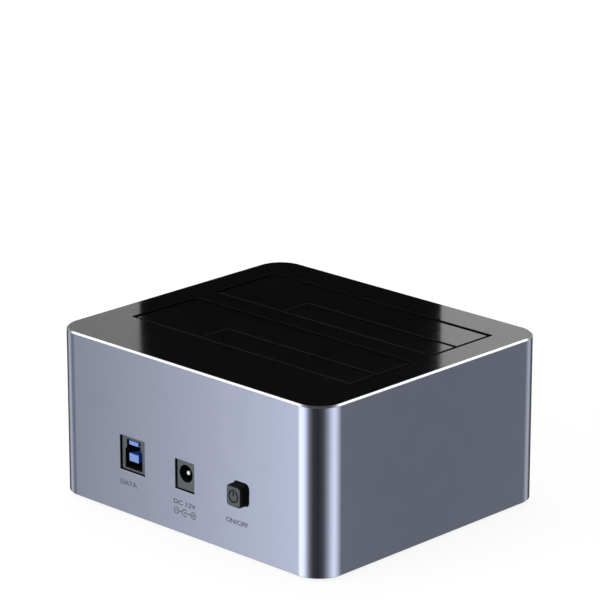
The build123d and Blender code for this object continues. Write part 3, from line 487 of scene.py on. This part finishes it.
class FinishShelf:
    """Makes each finish's material once and hands it out."""

    def __init__(self) -> None:
        """Starts empty."""
        self.made: dict[Finish, bpy.types.Material] = {}

    def material(self, finish: Finish) -> bpy.types.Material:
        """Gives the material of a finish.

        Args:
            finish: the finish.

        Returns:
            Its one material.
        """
        if finish not in self.made:
            self.made[finish] = finish.material()
        return self.made[finish]

    def dress(self, node: str, finish: Finish) -> None:
        """Puts a finish in every material slot of a frame node.

        Args:
            node: the node's name.
            finish: its finish.
        """
        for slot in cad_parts[node].material_slots:
            slot.link = "OBJECT"
            slot.material = self.material(finish.on(node))
        LOG.info("%s: %s", node, finish.name)


FINISHES = FinishShelf()


class Skin:
    """Collects blocks of points and faces, and makes one closed mesh of them."""

    def __init__(self) -> None:
        """Starts with no points and no faces."""
        self.points: list[np.ndarray] = []
        self.faces: list[np.ndarray] = []
        self.finishes: list[np.ndarray] = []
        self.count = 0

    def add_points(self, points: np.ndarray) -> np.ndarray:
        """Adds points.

        Args:
            points: an array of points in millimetres, of any layout.

        Returns:
            Their numbers, in the same layout.
        """
        numbers = np.arange(self.count, self.count + points.size // 3).reshape(points.shape[:-1])
        self.points.append(points.reshape(-1, 3))
        self.count += points.size // 3
        return numbers

    def add_faces(self, faces: np.ndarray, finish: int = 0) -> None:
        """Adds faces of one size that share a finish."""
        self.faces.append(faces)
        self.finishes.append(np.full(len(faces), finish, np.int32))

    @staticmethod
    def band(rows: np.ndarray, closed: bool = True) -> np.ndarray:
        """Quads between rows of point numbers.

        Each quad joins two neighbours in a row to the same two in the next row, so its face
        points along the row's direction crossed with the step to the next row.

        Args:
            rows: point numbers, one row to a line.
            closed: whether each row runs round to its start.

        Returns:
            The quads, one to a line.
        """
        ahead = np.roll(rows, -1, axis=1)
        quads = np.stack([rows[:-1], ahead[:-1], ahead[1:], rows[1:]], axis=-1)
        return (quads if closed else quads[:, :-1]).reshape(-1, 4)

    def piece(self, name: str, finishes: list[Finish], sharp: float) -> bpy.types.Object:
        """Makes the mesh and its object.

        Args:
            name: the piece's name.
            finishes: its finishes, in the order that the faces count them.
            sharp: angle past which an edge stays crisp.

        Returns:
            The object, at the origin, with its place in its mesh.
        """
        mesh = bpy.data.meshes.new(name)
        faces = [face for block in self.faces for face in block.tolist()]
        mesh.from_pydata((np.concatenate(self.points) * METRES_PER_MM).tolist(), [], faces)
        mesh.polygons.foreach_set("material_index", np.concatenate(self.finishes))
        mesh.shade_smooth()
        mesh.set_sharp_from_angle(angle=math.radians(sharp))
        for finish in finishes:
            mesh.materials.append(FINISHES.material(finish))
        mesh.validate()
        return to_scene(name, mesh)


def rounded_outline(length: float, width: float, radius: float, segments: int,
                    support: float = 0.0) -> tuple[np.ndarray, np.ndarray]:
    """A rounded rectangle round the origin, counter-clockwise from the corner at +X and -Y.

    Each corner is its centre plus the radius times the outward direction (sin a, -cos a), with
    a running over a quarter turn. A support point lies on the straight beside each end of the
    arc. Where no straight is left, the arcs share their ends.

    Args:
        length: size along the first axis.
        width: size along the second axis.
        radius: corner radius.
        segments: steps in each quarter turn.
        support: distance of the support points from the arc, or zero for none.

    Returns:
        The points and their outward directions.
    """
    round_only = length <= 2 * radius and width <= 2 * radius
    turn = np.radians(np.linspace(0.0, 90.0, segments + 1))[: segments if round_only else None]
    shift = np.zeros_like(turn)
    if support:
        turn = np.concatenate([turn[:1], turn, turn[-1:]])
        shift = np.concatenate([[-support], shift, [support]])
    angle = turn[None, :] + np.radians(90.0) * np.arange(4)[:, None]
    outward = np.stack([np.sin(angle), -np.cos(angle)], axis=-1)
    along = np.stack([np.cos(angle), np.sin(angle)], axis=-1)
    corner = np.array([[1, -1], [1, 1], [-1, 1], [-1, -1]])
    centre = corner * [max(0.0, length / 2 - radius), max(0.0, width / 2 - radius)]
    points = centre[:, None, :] + radius * outward + shift[None, :, None] * along
    return points.reshape(-1, 2), outward.reshape(-1, 2)


@dataclass(frozen=True)
class Opening:
    """A hole through a flat wall of the shell: its centre (x, z), its size and its corners."""

    centre: Pair
    size: Pair
    radius: float
    segments: int = 12

    @classmethod
    def around(cls, node: str, margin: float, radius: float, segments: int = 12) -> "Opening":
        """A hole past the box of a frame node, seen along Y.

        Args:
            node: the node behind the hole.
            margin: distance from the box out to the hole's edge, negative where the box has a
                flange behind the wall.
            radius: the hole's corner radius.
            segments: steps in each corner.

        Returns:
            The opening.
        """
        low, high = (corner[[0, 2]] for corner in node_box(node))
        return cls(tuple((low + high) / 2), tuple(high - low + 2 * margin), radius, segments)


@dataclass
class Shell:
    """The drawn aluminium shell, with its bright-cut rim and the openings in its two long walls."""

    corner_radius: float = 10.0
    corner_segments: int = 40
    support: float = 0.25
    rim_chamfer: float = 0.6
    rim_land: float = 0.05
    ledge: float = 0.95
    foot_chamfer: float = 0.3
    edge_break: float = 0.12
    cover_thickness: float = 2.2
    base_thickness: float = 2.0
    base_recess: float = 0.3
    sharp_angle: float = 28.0
    port_gap: float = 0.35
    port_corner_radius: float = 0.2
    port_corner_segments: int = 4
    button_gap: float = 0.25
    button_flange: float = 1.1
    button_corner_radius: float = 1.5
    pipe_count: int = 3
    pipe_radius: float = 1.0
    pipe_gap: float = 0.1
    pipe_collar_radius: float = 1.7
    low: np.ndarray = field(default_factory=lambda: node_box("outer_shell")[0])
    high: np.ndarray = field(default_factory=lambda: node_box("outer_shell")[1])

    OUTER_BAND: ClassVar[int] = 1
    CUT_BANDS: ClassVar[tuple[int, int]] = (2, 3)
    INNER_BAND: ClassVar[int] = 6

    def section(self) -> np.ndarray:
        """The wall's closed section, up the outside and down the inside.

        OUTER_BAND, CUT_BANDS and INNER_BAND count its points.

        Returns:
            Pairs of the distance in from the outline and the height.
        """
        rim = self.rim_chamfer + self.rim_land
        wall = rim + self.ledge
        bottom, top = self.low[2], self.high[2]
        cover_seat = top - self.cover_thickness
        base_seat = bottom + self.base_recess + self.base_thickness
        return np.array([
            (self.foot_chamfer, bottom), (0.0, bottom + self.foot_chamfer),
            (0.0, top - self.rim_chamfer), (self.rim_chamfer, top), (rim, top),
            (rim, cover_seat), (wall, cover_seat), (wall, base_seat),
            (rim, base_seat), (rim, bottom),
        ])

    def socket_openings(self) -> list[Opening]:
        """The holes in the wall at -Y.

        Returns:
            The holes for the data socket, the power socket and the button.
        """
        port = (self.port_gap, self.port_corner_radius, self.port_corner_segments)
        return [
            Opening.around("data_socket_sleeve", *port),
            Opening.around("power_socket_body", *port),
            Opening.around("power_button", self.button_gap - self.button_flange,
                           self.button_corner_radius + self.button_gap),
        ]

    def lamp_openings(self) -> list[Opening]:
        """The holes in the wall at +Y.

        Returns:
            The round holes for the light pipes, spaced evenly between the outermost two.
        """
        low, high = node_box("light_pipes")
        reach = self.pipe_collar_radius
        places = np.linspace(low[0] + reach, high[0] - reach, self.pipe_count)
        radius, height = self.pipe_radius + self.pipe_gap, (low[2] + high[2]) / 2
        return [Opening((place, height), (2 * radius, 2 * radius), radius) for place in places]

    def build(self) -> bpy.types.Object:
        """Carries the section round the outline and opens the two long walls.

        A point of the surface is the outline's point less its outward direction times the
        section's distance, at the section's height.

        Returns:
            The shell's object.
        """
        size = self.high - self.low
        outline, outward = rounded_outline(size[0], size[1], self.corner_radius,
                                           self.corner_segments, self.support)
        section = self.section()
        flat = outline[None] - outward[None] * section[:, :1, None]
        height = np.broadcast_to(section[:, 1, None, None], (*flat.shape[:2], 1))
        skin = Skin()
        rings = skin.add_points(np.concatenate([flat, height], axis=-1))
        quads = skin.band(np.vstack([rings, rings[:1]])).reshape(len(section), len(outline), 4)
        walls = [self.OUTER_BAND, self.INNER_BAND]
        front, back = len(outline) - 1, len(outline) // 2 - 1
        keep = np.ones(quads.shape[:2], bool)
        keep[np.ix_(walls, [front, back])] = False
        bright = np.zeros(quads.shape[:2], bool)
        bright[list(self.CUT_BANDS)] = True
        skin.add_faces(quads[keep & ~bright])
        skin.add_faces(quads[keep & bright], finish=1)
        thickness = section[self.INNER_BAND][0]
        for column, side, openings in ((front, 1, self.socket_openings()), (back, -1, self.lamp_openings())):
            self.open_wall(skin, quads[walls, column], side, thickness, openings)
        return skin.piece("shell_skin", [ANODISED, BRIGHT_CUT], self.sharp_angle)

    def open_wall(self, skin: Skin, corners: np.ndarray, side: int, thickness: float,
                  openings: list[Opening]) -> None:
        """Fills one flat stretch of wall, inside and out, and cuts its openings.

        An opening's edge is its outline, moved outwards by the softened edge at both faces of
        the wall, and the outline itself in between.

        Args:
            skin: the surface that takes the points and faces.
            corners: numbers of the four corner points, of the outer and the inner face.
            side: 1 for the wall at -Y, -1 for the wall at +Y.
            thickness: the wall's thickness.
            openings: the holes.
        """
        face_y = (self.low if side > 0 else self.high)[1]
        soft = self.edge_break
        steps = np.array([(soft, 0.0), (0.0, soft), (0.0, thickness - soft), (soft, thickness)])
        outer_loops, inner_loops = [], []
        for opening in openings:
            points, outward = rounded_outline(*opening.size, opening.radius, opening.segments)
            flat = points[None] + outward[None] * steps[:, :1, None]
            rows = np.empty((*flat.shape[:2], 3))
            rows[..., 0] = opening.centre[0] + side * flat[..., 0]
            rows[..., 1] = face_y + side * steps[:, 1:]
            rows[..., 2] = opening.centre[1] + flat[..., 1]
            numbers = skin.add_points(rows)
            skin.add_faces(skin.band(numbers))
            outer_loops.append(numbers[0])
            inner_loops.append(numbers[-1])
        everything = np.concatenate(skin.points)
        skin.add_faces(self.fill(everything, corners[0], outer_loops, side))
        skin.add_faces(self.fill(everything, corners[1], inner_loops, side)[:, ::-1])

    @staticmethod
    def fill(points: np.ndarray, corners: np.ndarray, loops: list[np.ndarray], side: int) -> np.ndarray:
        """Triangles between a rectangle and the convex loops inside it.

        Args:
            points: all points of the skin.
            corners: numbers of the rectangle's corners, in order.
            loops: numbers of each loop's points, in order.
            side: 1 where the first axis runs along +X, -1 where it runs along -X.

        Returns:
            The triangles, counter-clockwise seen from outside the wall.
        """
        rings = [corners, *loops]
        lengths = [len(ring) for ring in rings]
        numbers = np.concatenate(rings)
        places = [Vector(place) for place in (points[numbers][:, [0, 2]] * (side, 1)).tolist()]
        starts = np.cumsum([0, *lengths])
        steps = [start + np.arange(length) for start, length in zip(starts, lengths)]
        edges = np.concatenate([np.stack([step, np.roll(step, -1)], axis=-1) for step in steps])
        result = delaunay_2d_cdt(places, edges.tolist(), [], 0, FILL_TOLERANCE)
        origin = np.array([source[0] for source in result[3]])
        triangles = origin[np.array(result[2])]
        ring_of = np.repeat(np.arange(len(rings)), lengths)[triangles]
        in_hole = (ring_of[:, 0] > 0) & (ring_of == ring_of[:, :1]).all(axis=1)
        return numbers[triangles[~in_hole]]


@dataclass(frozen=True)
class Word:
    """A printed word under a frame node.

    Its middle lies beside the node's middle by the shift, and its top below the node's foot by
    the drop.
    """

    name: str
    text: str
    node: str
    shift: float
    drop: float
    width: float
    height: float


@dataclass
class Marks:
    """The small printed marks under the two sockets and the switch."""

    ink: float = 0.02
    stroke: float = 0.34
    words: tuple[Word, ...] = (
        Word("data_label", "DATA", "data_socket_sleeve", -2.075, 3.85, 8.35, 1.8),
        Word("power_label", "DC 12V", "power_socket_body", -0.15, 4.15, 10.7, 1.7),
        Word("switch_label", "ON/OFF", "power_button", -2.1, 5.0, 10.4, 1.75),
    )
    letter_weight: float = 0.022
    letter_depth: float = 0.5
    letter_steps: int = 6
    ring_radius: float = 1.15
    ring_pitch: float = 4.1
    ring_shift: float = -0.05
    ring_drop: float = 8.25
    sign_share: float = 0.5
    cup_radius: float = 1.3
    cup_opening: float = 48.0
    dot_radius: float = 0.17
    arc_steps: int = 32
    sharp_angle: float = 30.0
    wall_y: float = field(default_factory=lambda: node_box("outer_shell")[0][1])

    def reach(self) -> Pair:
        """The front of the ink, and its back just inside the wall's face."""
        return self.wall_y - self.ink, self.wall_y + self.ink / 2

    def build(self) -> list[bpy.types.Object]:
        """Makes all marks on the wall."""
        return [*map(self.word, self.words), self.polarity()]

    def word(self, word: Word) -> bpy.types.Object:
        """Prints a word as thin raised ink.

        The letters are laid flat and stood up against the wall: each point's share of the flat
        word's width, height and depth is its share of the print's.

        Args:
            word: what it says and where.

        Returns:
            The word's object.
        """
        curve = bpy.data.curves.new(word.name, "FONT")
        curve.body = word.text
        curve.resolution_u = self.letter_steps
        curve.offset = self.letter_weight
        curve.extrude = self.letter_depth
        letters = to_scene(word.name, curve)
        bpy.context.view_layer.update()
        graph = bpy.context.evaluated_depsgraph_get()
        mesh = bpy.data.meshes.new_from_object(letters.evaluated_get(graph))
        bpy.data.objects.remove(letters)
        points = np.zeros(len(mesh.vertices) * 3, np.float32)
        mesh.vertices.foreach_get("co", points)
        points = points.reshape(-1, 3)
        low, high = points.min(0), points.max(0)
        share = ((points - low) / (high - low))[:, [0, 2, 1]]
        middle, top = under(word.node, word.shift, word.drop)
        front, rear = self.reach()
        start = np.array([middle - word.width / 2, rear, top - word.height])
        placed = (start + share * [word.width, front - rear, word.height]) * METRES_PER_MM
        mesh.vertices.foreach_set("co", placed.astype(np.float32).ravel())
        mesh.update()
        mesh.name = word.name
        mesh.materials.clear()
        mesh.materials.append(FINISHES.material(PRINT_INK))
        return to_scene(word.name, mesh)

    def ribbon(self, skin: Skin, path: np.ndarray, closed: bool = False) -> None:
        """Adds a thin raised stroke along a flat path.

        The stroke's section is a rectangle across the path, carried along it: each point of the
        path is moved half a stroke to either side, square to the path, in front of and inside
        the wall's face.

        Args:
            skin: the surface that takes it.
            path: points (x, z) of the middle of the stroke.
            closed: whether the path runs round to its start.
        """
        ahead = np.roll(path, -1, axis=0) - np.roll(path, 1, axis=0)
        if not closed:
            ahead[0], ahead[-1] = path[1] - path[0], path[-1] - path[-2]
        ahead = ahead / np.linalg.norm(ahead, axis=1)[:, None]
        beside = np.stack([ahead[:, 1], -ahead[:, 0]], axis=-1) * self.stroke / 2
        front, rear = self.reach()
        section = ((1, front), (-1, front), (-1, rear), (1, rear))
        rows = [np.insert(path + beside * way, 1, depth, axis=1) for way, depth in section]
        numbers = skin.add_points(np.array(rows))
        skin.add_faces(skin.band(np.vstack([numbers, numbers[:1]]), closed))
        if not closed:
            skin.add_faces(numbers[:, 0][None, ::-1])
            skin.add_faces(numbers[:, -1][None])

    def arc(self, centre: Pair, radius: float, start: float = 0.0, end: float = 360.0) -> np.ndarray:
        """Points of an arc in the print's plane, or of a whole ring without its last point."""
        angle = np.radians(np.linspace(start, end, self.arc_steps, endpoint=end - start < 360.0))
        return np.array(centre) + radius * np.stack([np.cos(angle), np.sin(angle)], axis=-1)

    def polarity(self) -> bpy.types.Object:
        """The centre-positive mark: minus in a ring, a dot in a cup, plus in a ring.

        Returns:
            The mark's object.
        """
        skin = Skin()
        centre, height = under("power_socket_body", self.ring_shift, self.ring_drop)
        left, middle, right = (centre + step * self.ring_pitch for step in (-1, 0, 1))
        half = self.ring_radius * self.sign_share
        for ring in (left, right):
            self.ribbon(skin, self.arc((ring, height), self.ring_radius), closed=True)
            self.ribbon(skin, np.array([(ring - half, height), (ring + half, height)]))
        self.ribbon(skin, np.array([(right, height - half), (right, height + half)]))
        cup = self.arc((middle, height), self.cup_radius, self.cup_opening, 360.0 - self.cup_opening)
        self.ribbon(skin, cup)
        self.ribbon(skin, self.arc((middle, height), self.dot_radius), closed=True)
        for start, end in ((left + self.ring_radius, middle - self.cup_radius),
                           (middle, right - self.ring_radius)):
            self.ribbon(skin, np.array([(start, height), (end, height)]))
        return skin.piece("polarity_mark", [PRINT_INK], self.sharp_angle)


@dataclass
class SubAssembly:
    """Frame nodes that belong together, each with its finish."""

    finishes: ClassVar[dict[str, Finish]] = {}
    prefix: str = ""

    def dress(self) -> None:
        """Gives each node its finish."""
        for node, finish in self.finishes.items():
            FINISHES.dress(self.prefix + node, finish)


@dataclass
class Casing(SubAssembly):
    """The shell, the cover, the base and what fastens them."""

    finishes: ClassVar[dict[str, Finish]] = {
        "outer_shell": ANODISED, "top_cover": GLOSS_BLACK, "base_plate": BLACK_PLASTIC,
        "rubber_feet": RUBBER, "base_screws": SCREW_STEEL, "well_screws": SCREW_STEEL,
    }
    shell: Shell = field(default_factory=Shell)
    marks: Marks = field(default_factory=Marks)

    def build(self) -> None:
        """Makes the shell's fine surface and the printed marks."""
        skin = self.shell.build()
        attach(skin, "root")
        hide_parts("outer_shell")
        LOG.info("shell_skin: %d faces", len(skin.data.polygons))
        for mark in self.marks.build():
            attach(mark, "root")
            LOG.info("%s: %d faces", mark.name, len(mark.data.polygons))


@dataclass
class Sockets(SubAssembly):
    """The data socket, the power socket and the power switch with its button."""

    finishes: ClassVar[dict[str, Finish]] = {
        "data_socket_sleeve": NICKEL, "data_socket_housing": SOCKET_PLASTIC,
        "data_socket_insulator": BLUE_PLASTIC, "data_socket_contacts": PLATED_CONTACT,
        "power_socket_body": SOCKET_PLASTIC, "power_socket_pin": SPRING_STEEL,
        "power_socket_spring": SPRING_STEEL, "power_switch_body": BLACK_PLASTIC,
        "power_switch_plunger": WHITE_PLASTIC, "power_button": BUTTON_PLASTIC,
    }

    def dress(self) -> None:
        """Gives each node its finish, and keeps the button's mirror image off the soft wall."""
        super().dress()
        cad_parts["power_button"].visible_glossy = False


@dataclass
class Bay(SubAssembly):
    """One drive bay: its well, its two flaps with pins and springs, and its receptacle."""

    finishes: ClassVar[dict[str, Finish]] = {
        "bay_well": BLACK_PLASTIC, "drive_receptacle": BLACK_PLASTIC,
        "receptacle_contacts": PLATED_CONTACT, "large_flap": GLOSS_BLACK, "small_flap": GLOSS_BLACK,
        "large_flap_spring": SPRING_STEEL, "small_flap_spring": SPRING_STEEL,
        "large_hinge_pin": SPRING_STEEL, "small_hinge_pin": SPRING_STEEL,
    }


@dataclass
class Electronics(SubAssembly):
    """The two boards, what is soldered to them, the lamps and their light pipes."""

    finishes: ClassVar[dict[str, Finish]] = {
        "main_board": BOARD_GREEN, "port_board": BOARD_GREEN, "board_screws": SCREW_STEEL,
        "link_socket": BLACK_PLASTIC, "link_plug": BLACK_PLASTIC, "link_contacts": PLATED_CONTACT,
        "bridge_chip": CHIP_BLACK, "memory_chip": CHIP_BLACK, "regulator_chips": CHIP_BLACK,
        "power_inductors": CHIP_BLACK, "ceramic_capacitors": COMPONENT_TAN,
        "clock_crystal": COMPONENT_METAL, "electrolytic_capacitors": COMPONENT_METAL,
        "status_lamps": LAMP_LENS, "light_pipes": LAMP_LENS,
    }


def direction(azimuth: float, elevation: float) -> Vector:
    """The unit direction (sin a cos e, -cos a cos e, sin e), from -Y towards +X and upwards."""
    turn, rise = math.radians(azimuth), math.radians(elevation)
    return Vector((math.sin(turn) * math.cos(rise), -math.cos(turn) * math.cos(rise), math.sin(rise)))


def aim(thing: bpy.types.Object, target: Triple, azimuth: float, elevation: float,
        distance: float) -> None:
    """Stands a lamp or camera away from a target and turns it there.

    Args:
        thing: the lamp's or the camera's object.
        target: where it looks, in metres.
        azimuth: the way to it from the target, from -Y towards +X.
        elevation: the way to it, above the horizon.
        distance: how far it stands, in metres.
    """
    away = direction(azimuth, elevation)
    thing.location = Vector(target) + away * distance
    thing.rotation_euler = away.to_track_quat("Z", "Y").to_euler()


@dataclass(frozen=True)
class Lamp:
    """A square soft lamp: its direction, its distance and side in metres, its power in watts."""

    name: str
    azimuth: float
    elevation: float
    distance: float
    side: float
    power: float


@dataclass
class Studio:
    """The floor, the room's light, the lamps and the camera, with lengths in metres.

    A light's stops are pairs of angle and strength: azimuths from -Y towards +X in around and
    behind, and elevations in overhead. The limits are elevations between which one light gives
    way to the next.
    """

    floor_radius: float = 7.0
    floor_steps: int = 96
    floor_level: float = 0.8
    shadow_level: float = 0.13
    floor_glow: float = 0.89
    lens: float = 202.26
    sensor: float = 36.0
    sight: float = 50.0
    azimuth: float = 43.9436
    elevation: float = 17.6139
    distance: float = 1.169424
    target: Triple = (0.000528, 0.0, 0.072314)
    room_strength: float = 0.62
    peak_strength: float = 4.0
    around: Stops = (
        (-180.0, 0.35), (-174.0, 0.12), (-102.0, 0.12), (-96.0, 0.3), (-90.0, 0.95), (-80.0, 1.1),
        (-72.0, 0.85), (-65.0, 0.47), (-54.0, 0.45), (-48.0, 0.62), (-46.5, 0.93), (-44.0, 1.6),
        (-40.0, 2.6), (-36.0, 2.95), (-28.0, 3.1), (-16.0, 2.6), (-8.0, 1.72), (0.0, 0.85),
        (8.0, 0.36), (20.0, 0.11), (40.0, 0.07), (60.0, 0.19), (76.0, 0.79), (92.0, 1.83),
        (105.0, 2.28), (133.0, 0.62), (137.0, 0.31), (140.0, 0.37), (158.0, 1.0), (166.0, 1.05),
        (173.0, 0.75), (180.0, 0.35),
    )
    behind: Stops = (
        (-180.0, 0.3), (-163.0, 0.3), (-151.0, 1.3), (-139.5, 1.25), (-132.0, 0.78),
        (-121.0, 0.72), (-109.0, 0.3), (180.0, 0.3),
    )
    overhead: Stops = (
        (-90.0, 0.75), (-52.0, 0.75), (-46.0, 0.5), (-37.0, 0.5), (-28.0, 1.0), (30.0, 1.0),
        (36.0, 1.4), (44.5, 1.4), (51.0, 0.3), (62.0, 0.06), (76.0, 0.06), (84.0, 0.6), (90.0, 0.6),
    )
    ring_foot_limits: Pair = (-40.0, -30.0)
    ring_top_limits: Pair = (-3.0, 3.0)
    behind_limits: Pair = (27.0, 34.0)
    card_distance: float = 0.095
    card_reach: Pair = (-0.06, 0.0536)
    card_height: Pair = (0.062, 0.16)
    lamps: tuple[Lamp, ...] = (
        Lamp("front_lamp", -18.0, 24.0, 1.4, 0.9, 9.0),
        Lamp("top_lamp", -120.0, 70.0, 1.6, 1.2, 8.0),
    )

    def build(self) -> None:
        """Sets up the floor, the light and the camera."""
        self.floor()
        self.world()
        self.card()
        for lamp in self.lamps:
            self.lamp(lamp)
        self.camera()
        bpy.context.scene.view_settings.view_transform = "Standard"

    def floor(self) -> None:
        """Lays a plain pale floor: a disc whose rim is radius times (cos a, sin a).

        The camera sees it glow, with the object's shadow on it, and the object gets the light
        of a plain pale floor.
        """
        angle = np.linspace(0.0, 2 * math.pi, self.floor_steps, endpoint=False)
        rim = np.stack([np.cos(angle), np.sin(angle), np.zeros_like(angle)], axis=-1) * self.floor_radius
        mesh = bpy.data.meshes.new("floor")
        mesh.from_pydata(rim.tolist(), [], [list(range(self.floor_steps))])
        floor = to_scene("floor", mesh)
        floor.visible_glossy = False
        nodes = SurfaceNodes("pale_floor")
        nodes.tree.nodes.remove(nodes.surface)
        rays = nodes.add("ShaderNodeLightPath").outputs
        plain = nodes.add("ShaderNodeBsdfDiffuse", {"Color": grey(self.floor_level)})
        shaded = nodes.add("ShaderNodeBsdfDiffuse", {"Color": grey(self.shadow_level)})
        glow = nodes.add("ShaderNodeEmission", {"Color": grey(1.0), "Strength": self.floor_glow})
        seen = nodes.add("ShaderNodeAddShader", {0: shaded.outputs[0], 1: glow.outputs[0]})
        direct = nodes.math("MAXIMUM", rays["Is Camera Ray"], rays["Is Transmission Ray"])
        mix = nodes.add("ShaderNodeMixShader", {0: direct, 1: plain.outputs[0], 2: seen.outputs[0]})
        nodes.join(mix.outputs[0], nodes.tree.nodes["Material Output"].inputs["Surface"])
        mesh.materials.append(nodes.material)

    def world(self) -> None:
        """Lights the room: white to the camera, even to matt faces, and to metal and gloss a
        ring of tall soft lights below the horizon, a lit patch above it behind the object, and
        a bright band higher up.

        The ring's and the patch's strength follow the direction's azimuth, atan2(x, -y), and the
        band's follows its elevation, asin(z).
        """
        world = bpy.data.worlds.new("studio")
        bpy.context.scene.world = world
        world.use_nodes = True
        world.cycles.sampling_method = "NONE"
        nodes = Nodes(world.node_tree)
        place = nodes.add("ShaderNodeTexCoord").outputs["Generated"]
        split = nodes.add("ShaderNodeSeparateXYZ", {0: place}).outputs
        turn = nodes.math("ARCTAN2", split["X"], nodes.math("MULTIPLY", split["Y"], -1.0))
        rise = nodes.math("ARCSINE", split["Z"])
        azimuth = nodes.math("MULTIPLY_ADD", turn, 0.5 / math.pi, 0.5)
        elevation = nodes.math("MULTIPLY_ADD", rise, 1.0 / math.pi, 0.5)
        ring = nodes.ramp(azimuth, self.around, self.peak_strength)
        patch = nodes.ramp(azimuth, self.behind, self.peak_strength)
        band = nodes.ramp(elevation, self.overhead, self.peak_strength)
        off_floor = nodes.step(rise, *self.ring_foot_limits)
        over_ring = nodes.step(rise, *self.ring_top_limits)
        over_patch = nodes.step(rise, *self.behind_limits)
        in_ring = nodes.math("MULTIPLY", off_floor, nodes.inverse(over_ring))
        unpatched = nodes.math("MAXIMUM", over_patch, nodes.inverse(off_floor))
        above = nodes.math("MULTIPLY", band, nodes.between(patch, 1.0, unpatched))
        soft = nodes.between(above, ring, in_ring)
        rays = nodes.add("ShaderNodeLightPath").outputs
        direct = nodes.math("MAXIMUM", rays["Is Camera Ray"], rays["Is Transmission Ray"])
        bounced = nodes.between(self.room_strength, soft, rays["Is Glossy Ray"])
        background = nodes.tree.nodes["Background"].inputs
        background["Color"].default_value = grey(1.0)
        nodes.join(nodes.between(bounced, 1.0, direct), background["Strength"])

    def card(self) -> None:
        """Stands a black card behind the object, which only glossy surfaces show.

        The card is square to the camera's direction. Its corners are the point behind the
        object plus a reach along the camera's right, (cos a, sin a), at two heights.
        """
        turn = math.radians(self.azimuth)
        right = Vector((math.cos(turn), math.sin(turn), 0.0))
        behind = -direction(self.azimuth, 0.0) * self.card_distance
        (left_reach, right_reach), (low, high) = self.card_reach, self.card_height
        corners = ((left_reach, low), (right_reach, low), (right_reach, high), (left_reach, high))
        places = [(*(behind + right * reach).xy, height) for reach, height in corners]
        mesh = bpy.data.meshes.new("dark_card")
        mesh.from_pydata(places, [], [[0, 1, 2, 3]])
        card = to_scene("dark_card", mesh)
        for ray in ("camera", "diffuse", "shadow", "transmission"):
            setattr(card, f"visible_{ray}", False)
        nodes = SurfaceNodes("dark_card")
        nodes.put(Base_Color=grey(0.0), Roughness=1.0, Specular_IOR_Level=0.0)
        mesh.materials.append(nodes.material)

    def lamp(self, lamp: Lamp) -> None:
        """Adds a square soft lamp that looks at the object and that gloss doesn't show.

        Args:
            lamp: its sizes, its place and its power.
        """
        light = bpy.data.lights.new(lamp.name, "AREA")
        light.size = lamp.side
        light.energy = lamp.power
        thing = to_scene(lamp.name, light)
        aim(thing, self.target, lamp.azimuth, lamp.elevation, lamp.distance)
        thing.visible_glossy = False

    def camera(self) -> None:
        """Sets the camera at the photograph's angle."""
        data = bpy.data.cameras.new("camera")
        data.lens = self.lens
        data.sensor_width = self.sensor
        data.clip_end = self.sight
        camera = to_scene("camera", data)
        aim(camera, self.target, self.azimuth, self.elevation, self.distance)
        bpy.context.scene.camera = camera


def main() -> None:
    """Builds the studio and the casing, and dresses each sub-assembly in turn."""
    logging.basicConfig(level=logging.INFO, format="%(name)s: %(message)s")
    Studio().build()
    casing = Casing()
    casing.build()
    for assembly in (casing, Sockets(), Bay(prefix="near_"), Bay(prefix="far_"), Electronics()):
        assembly.dress()


if __name__ == "__main__":
    main()
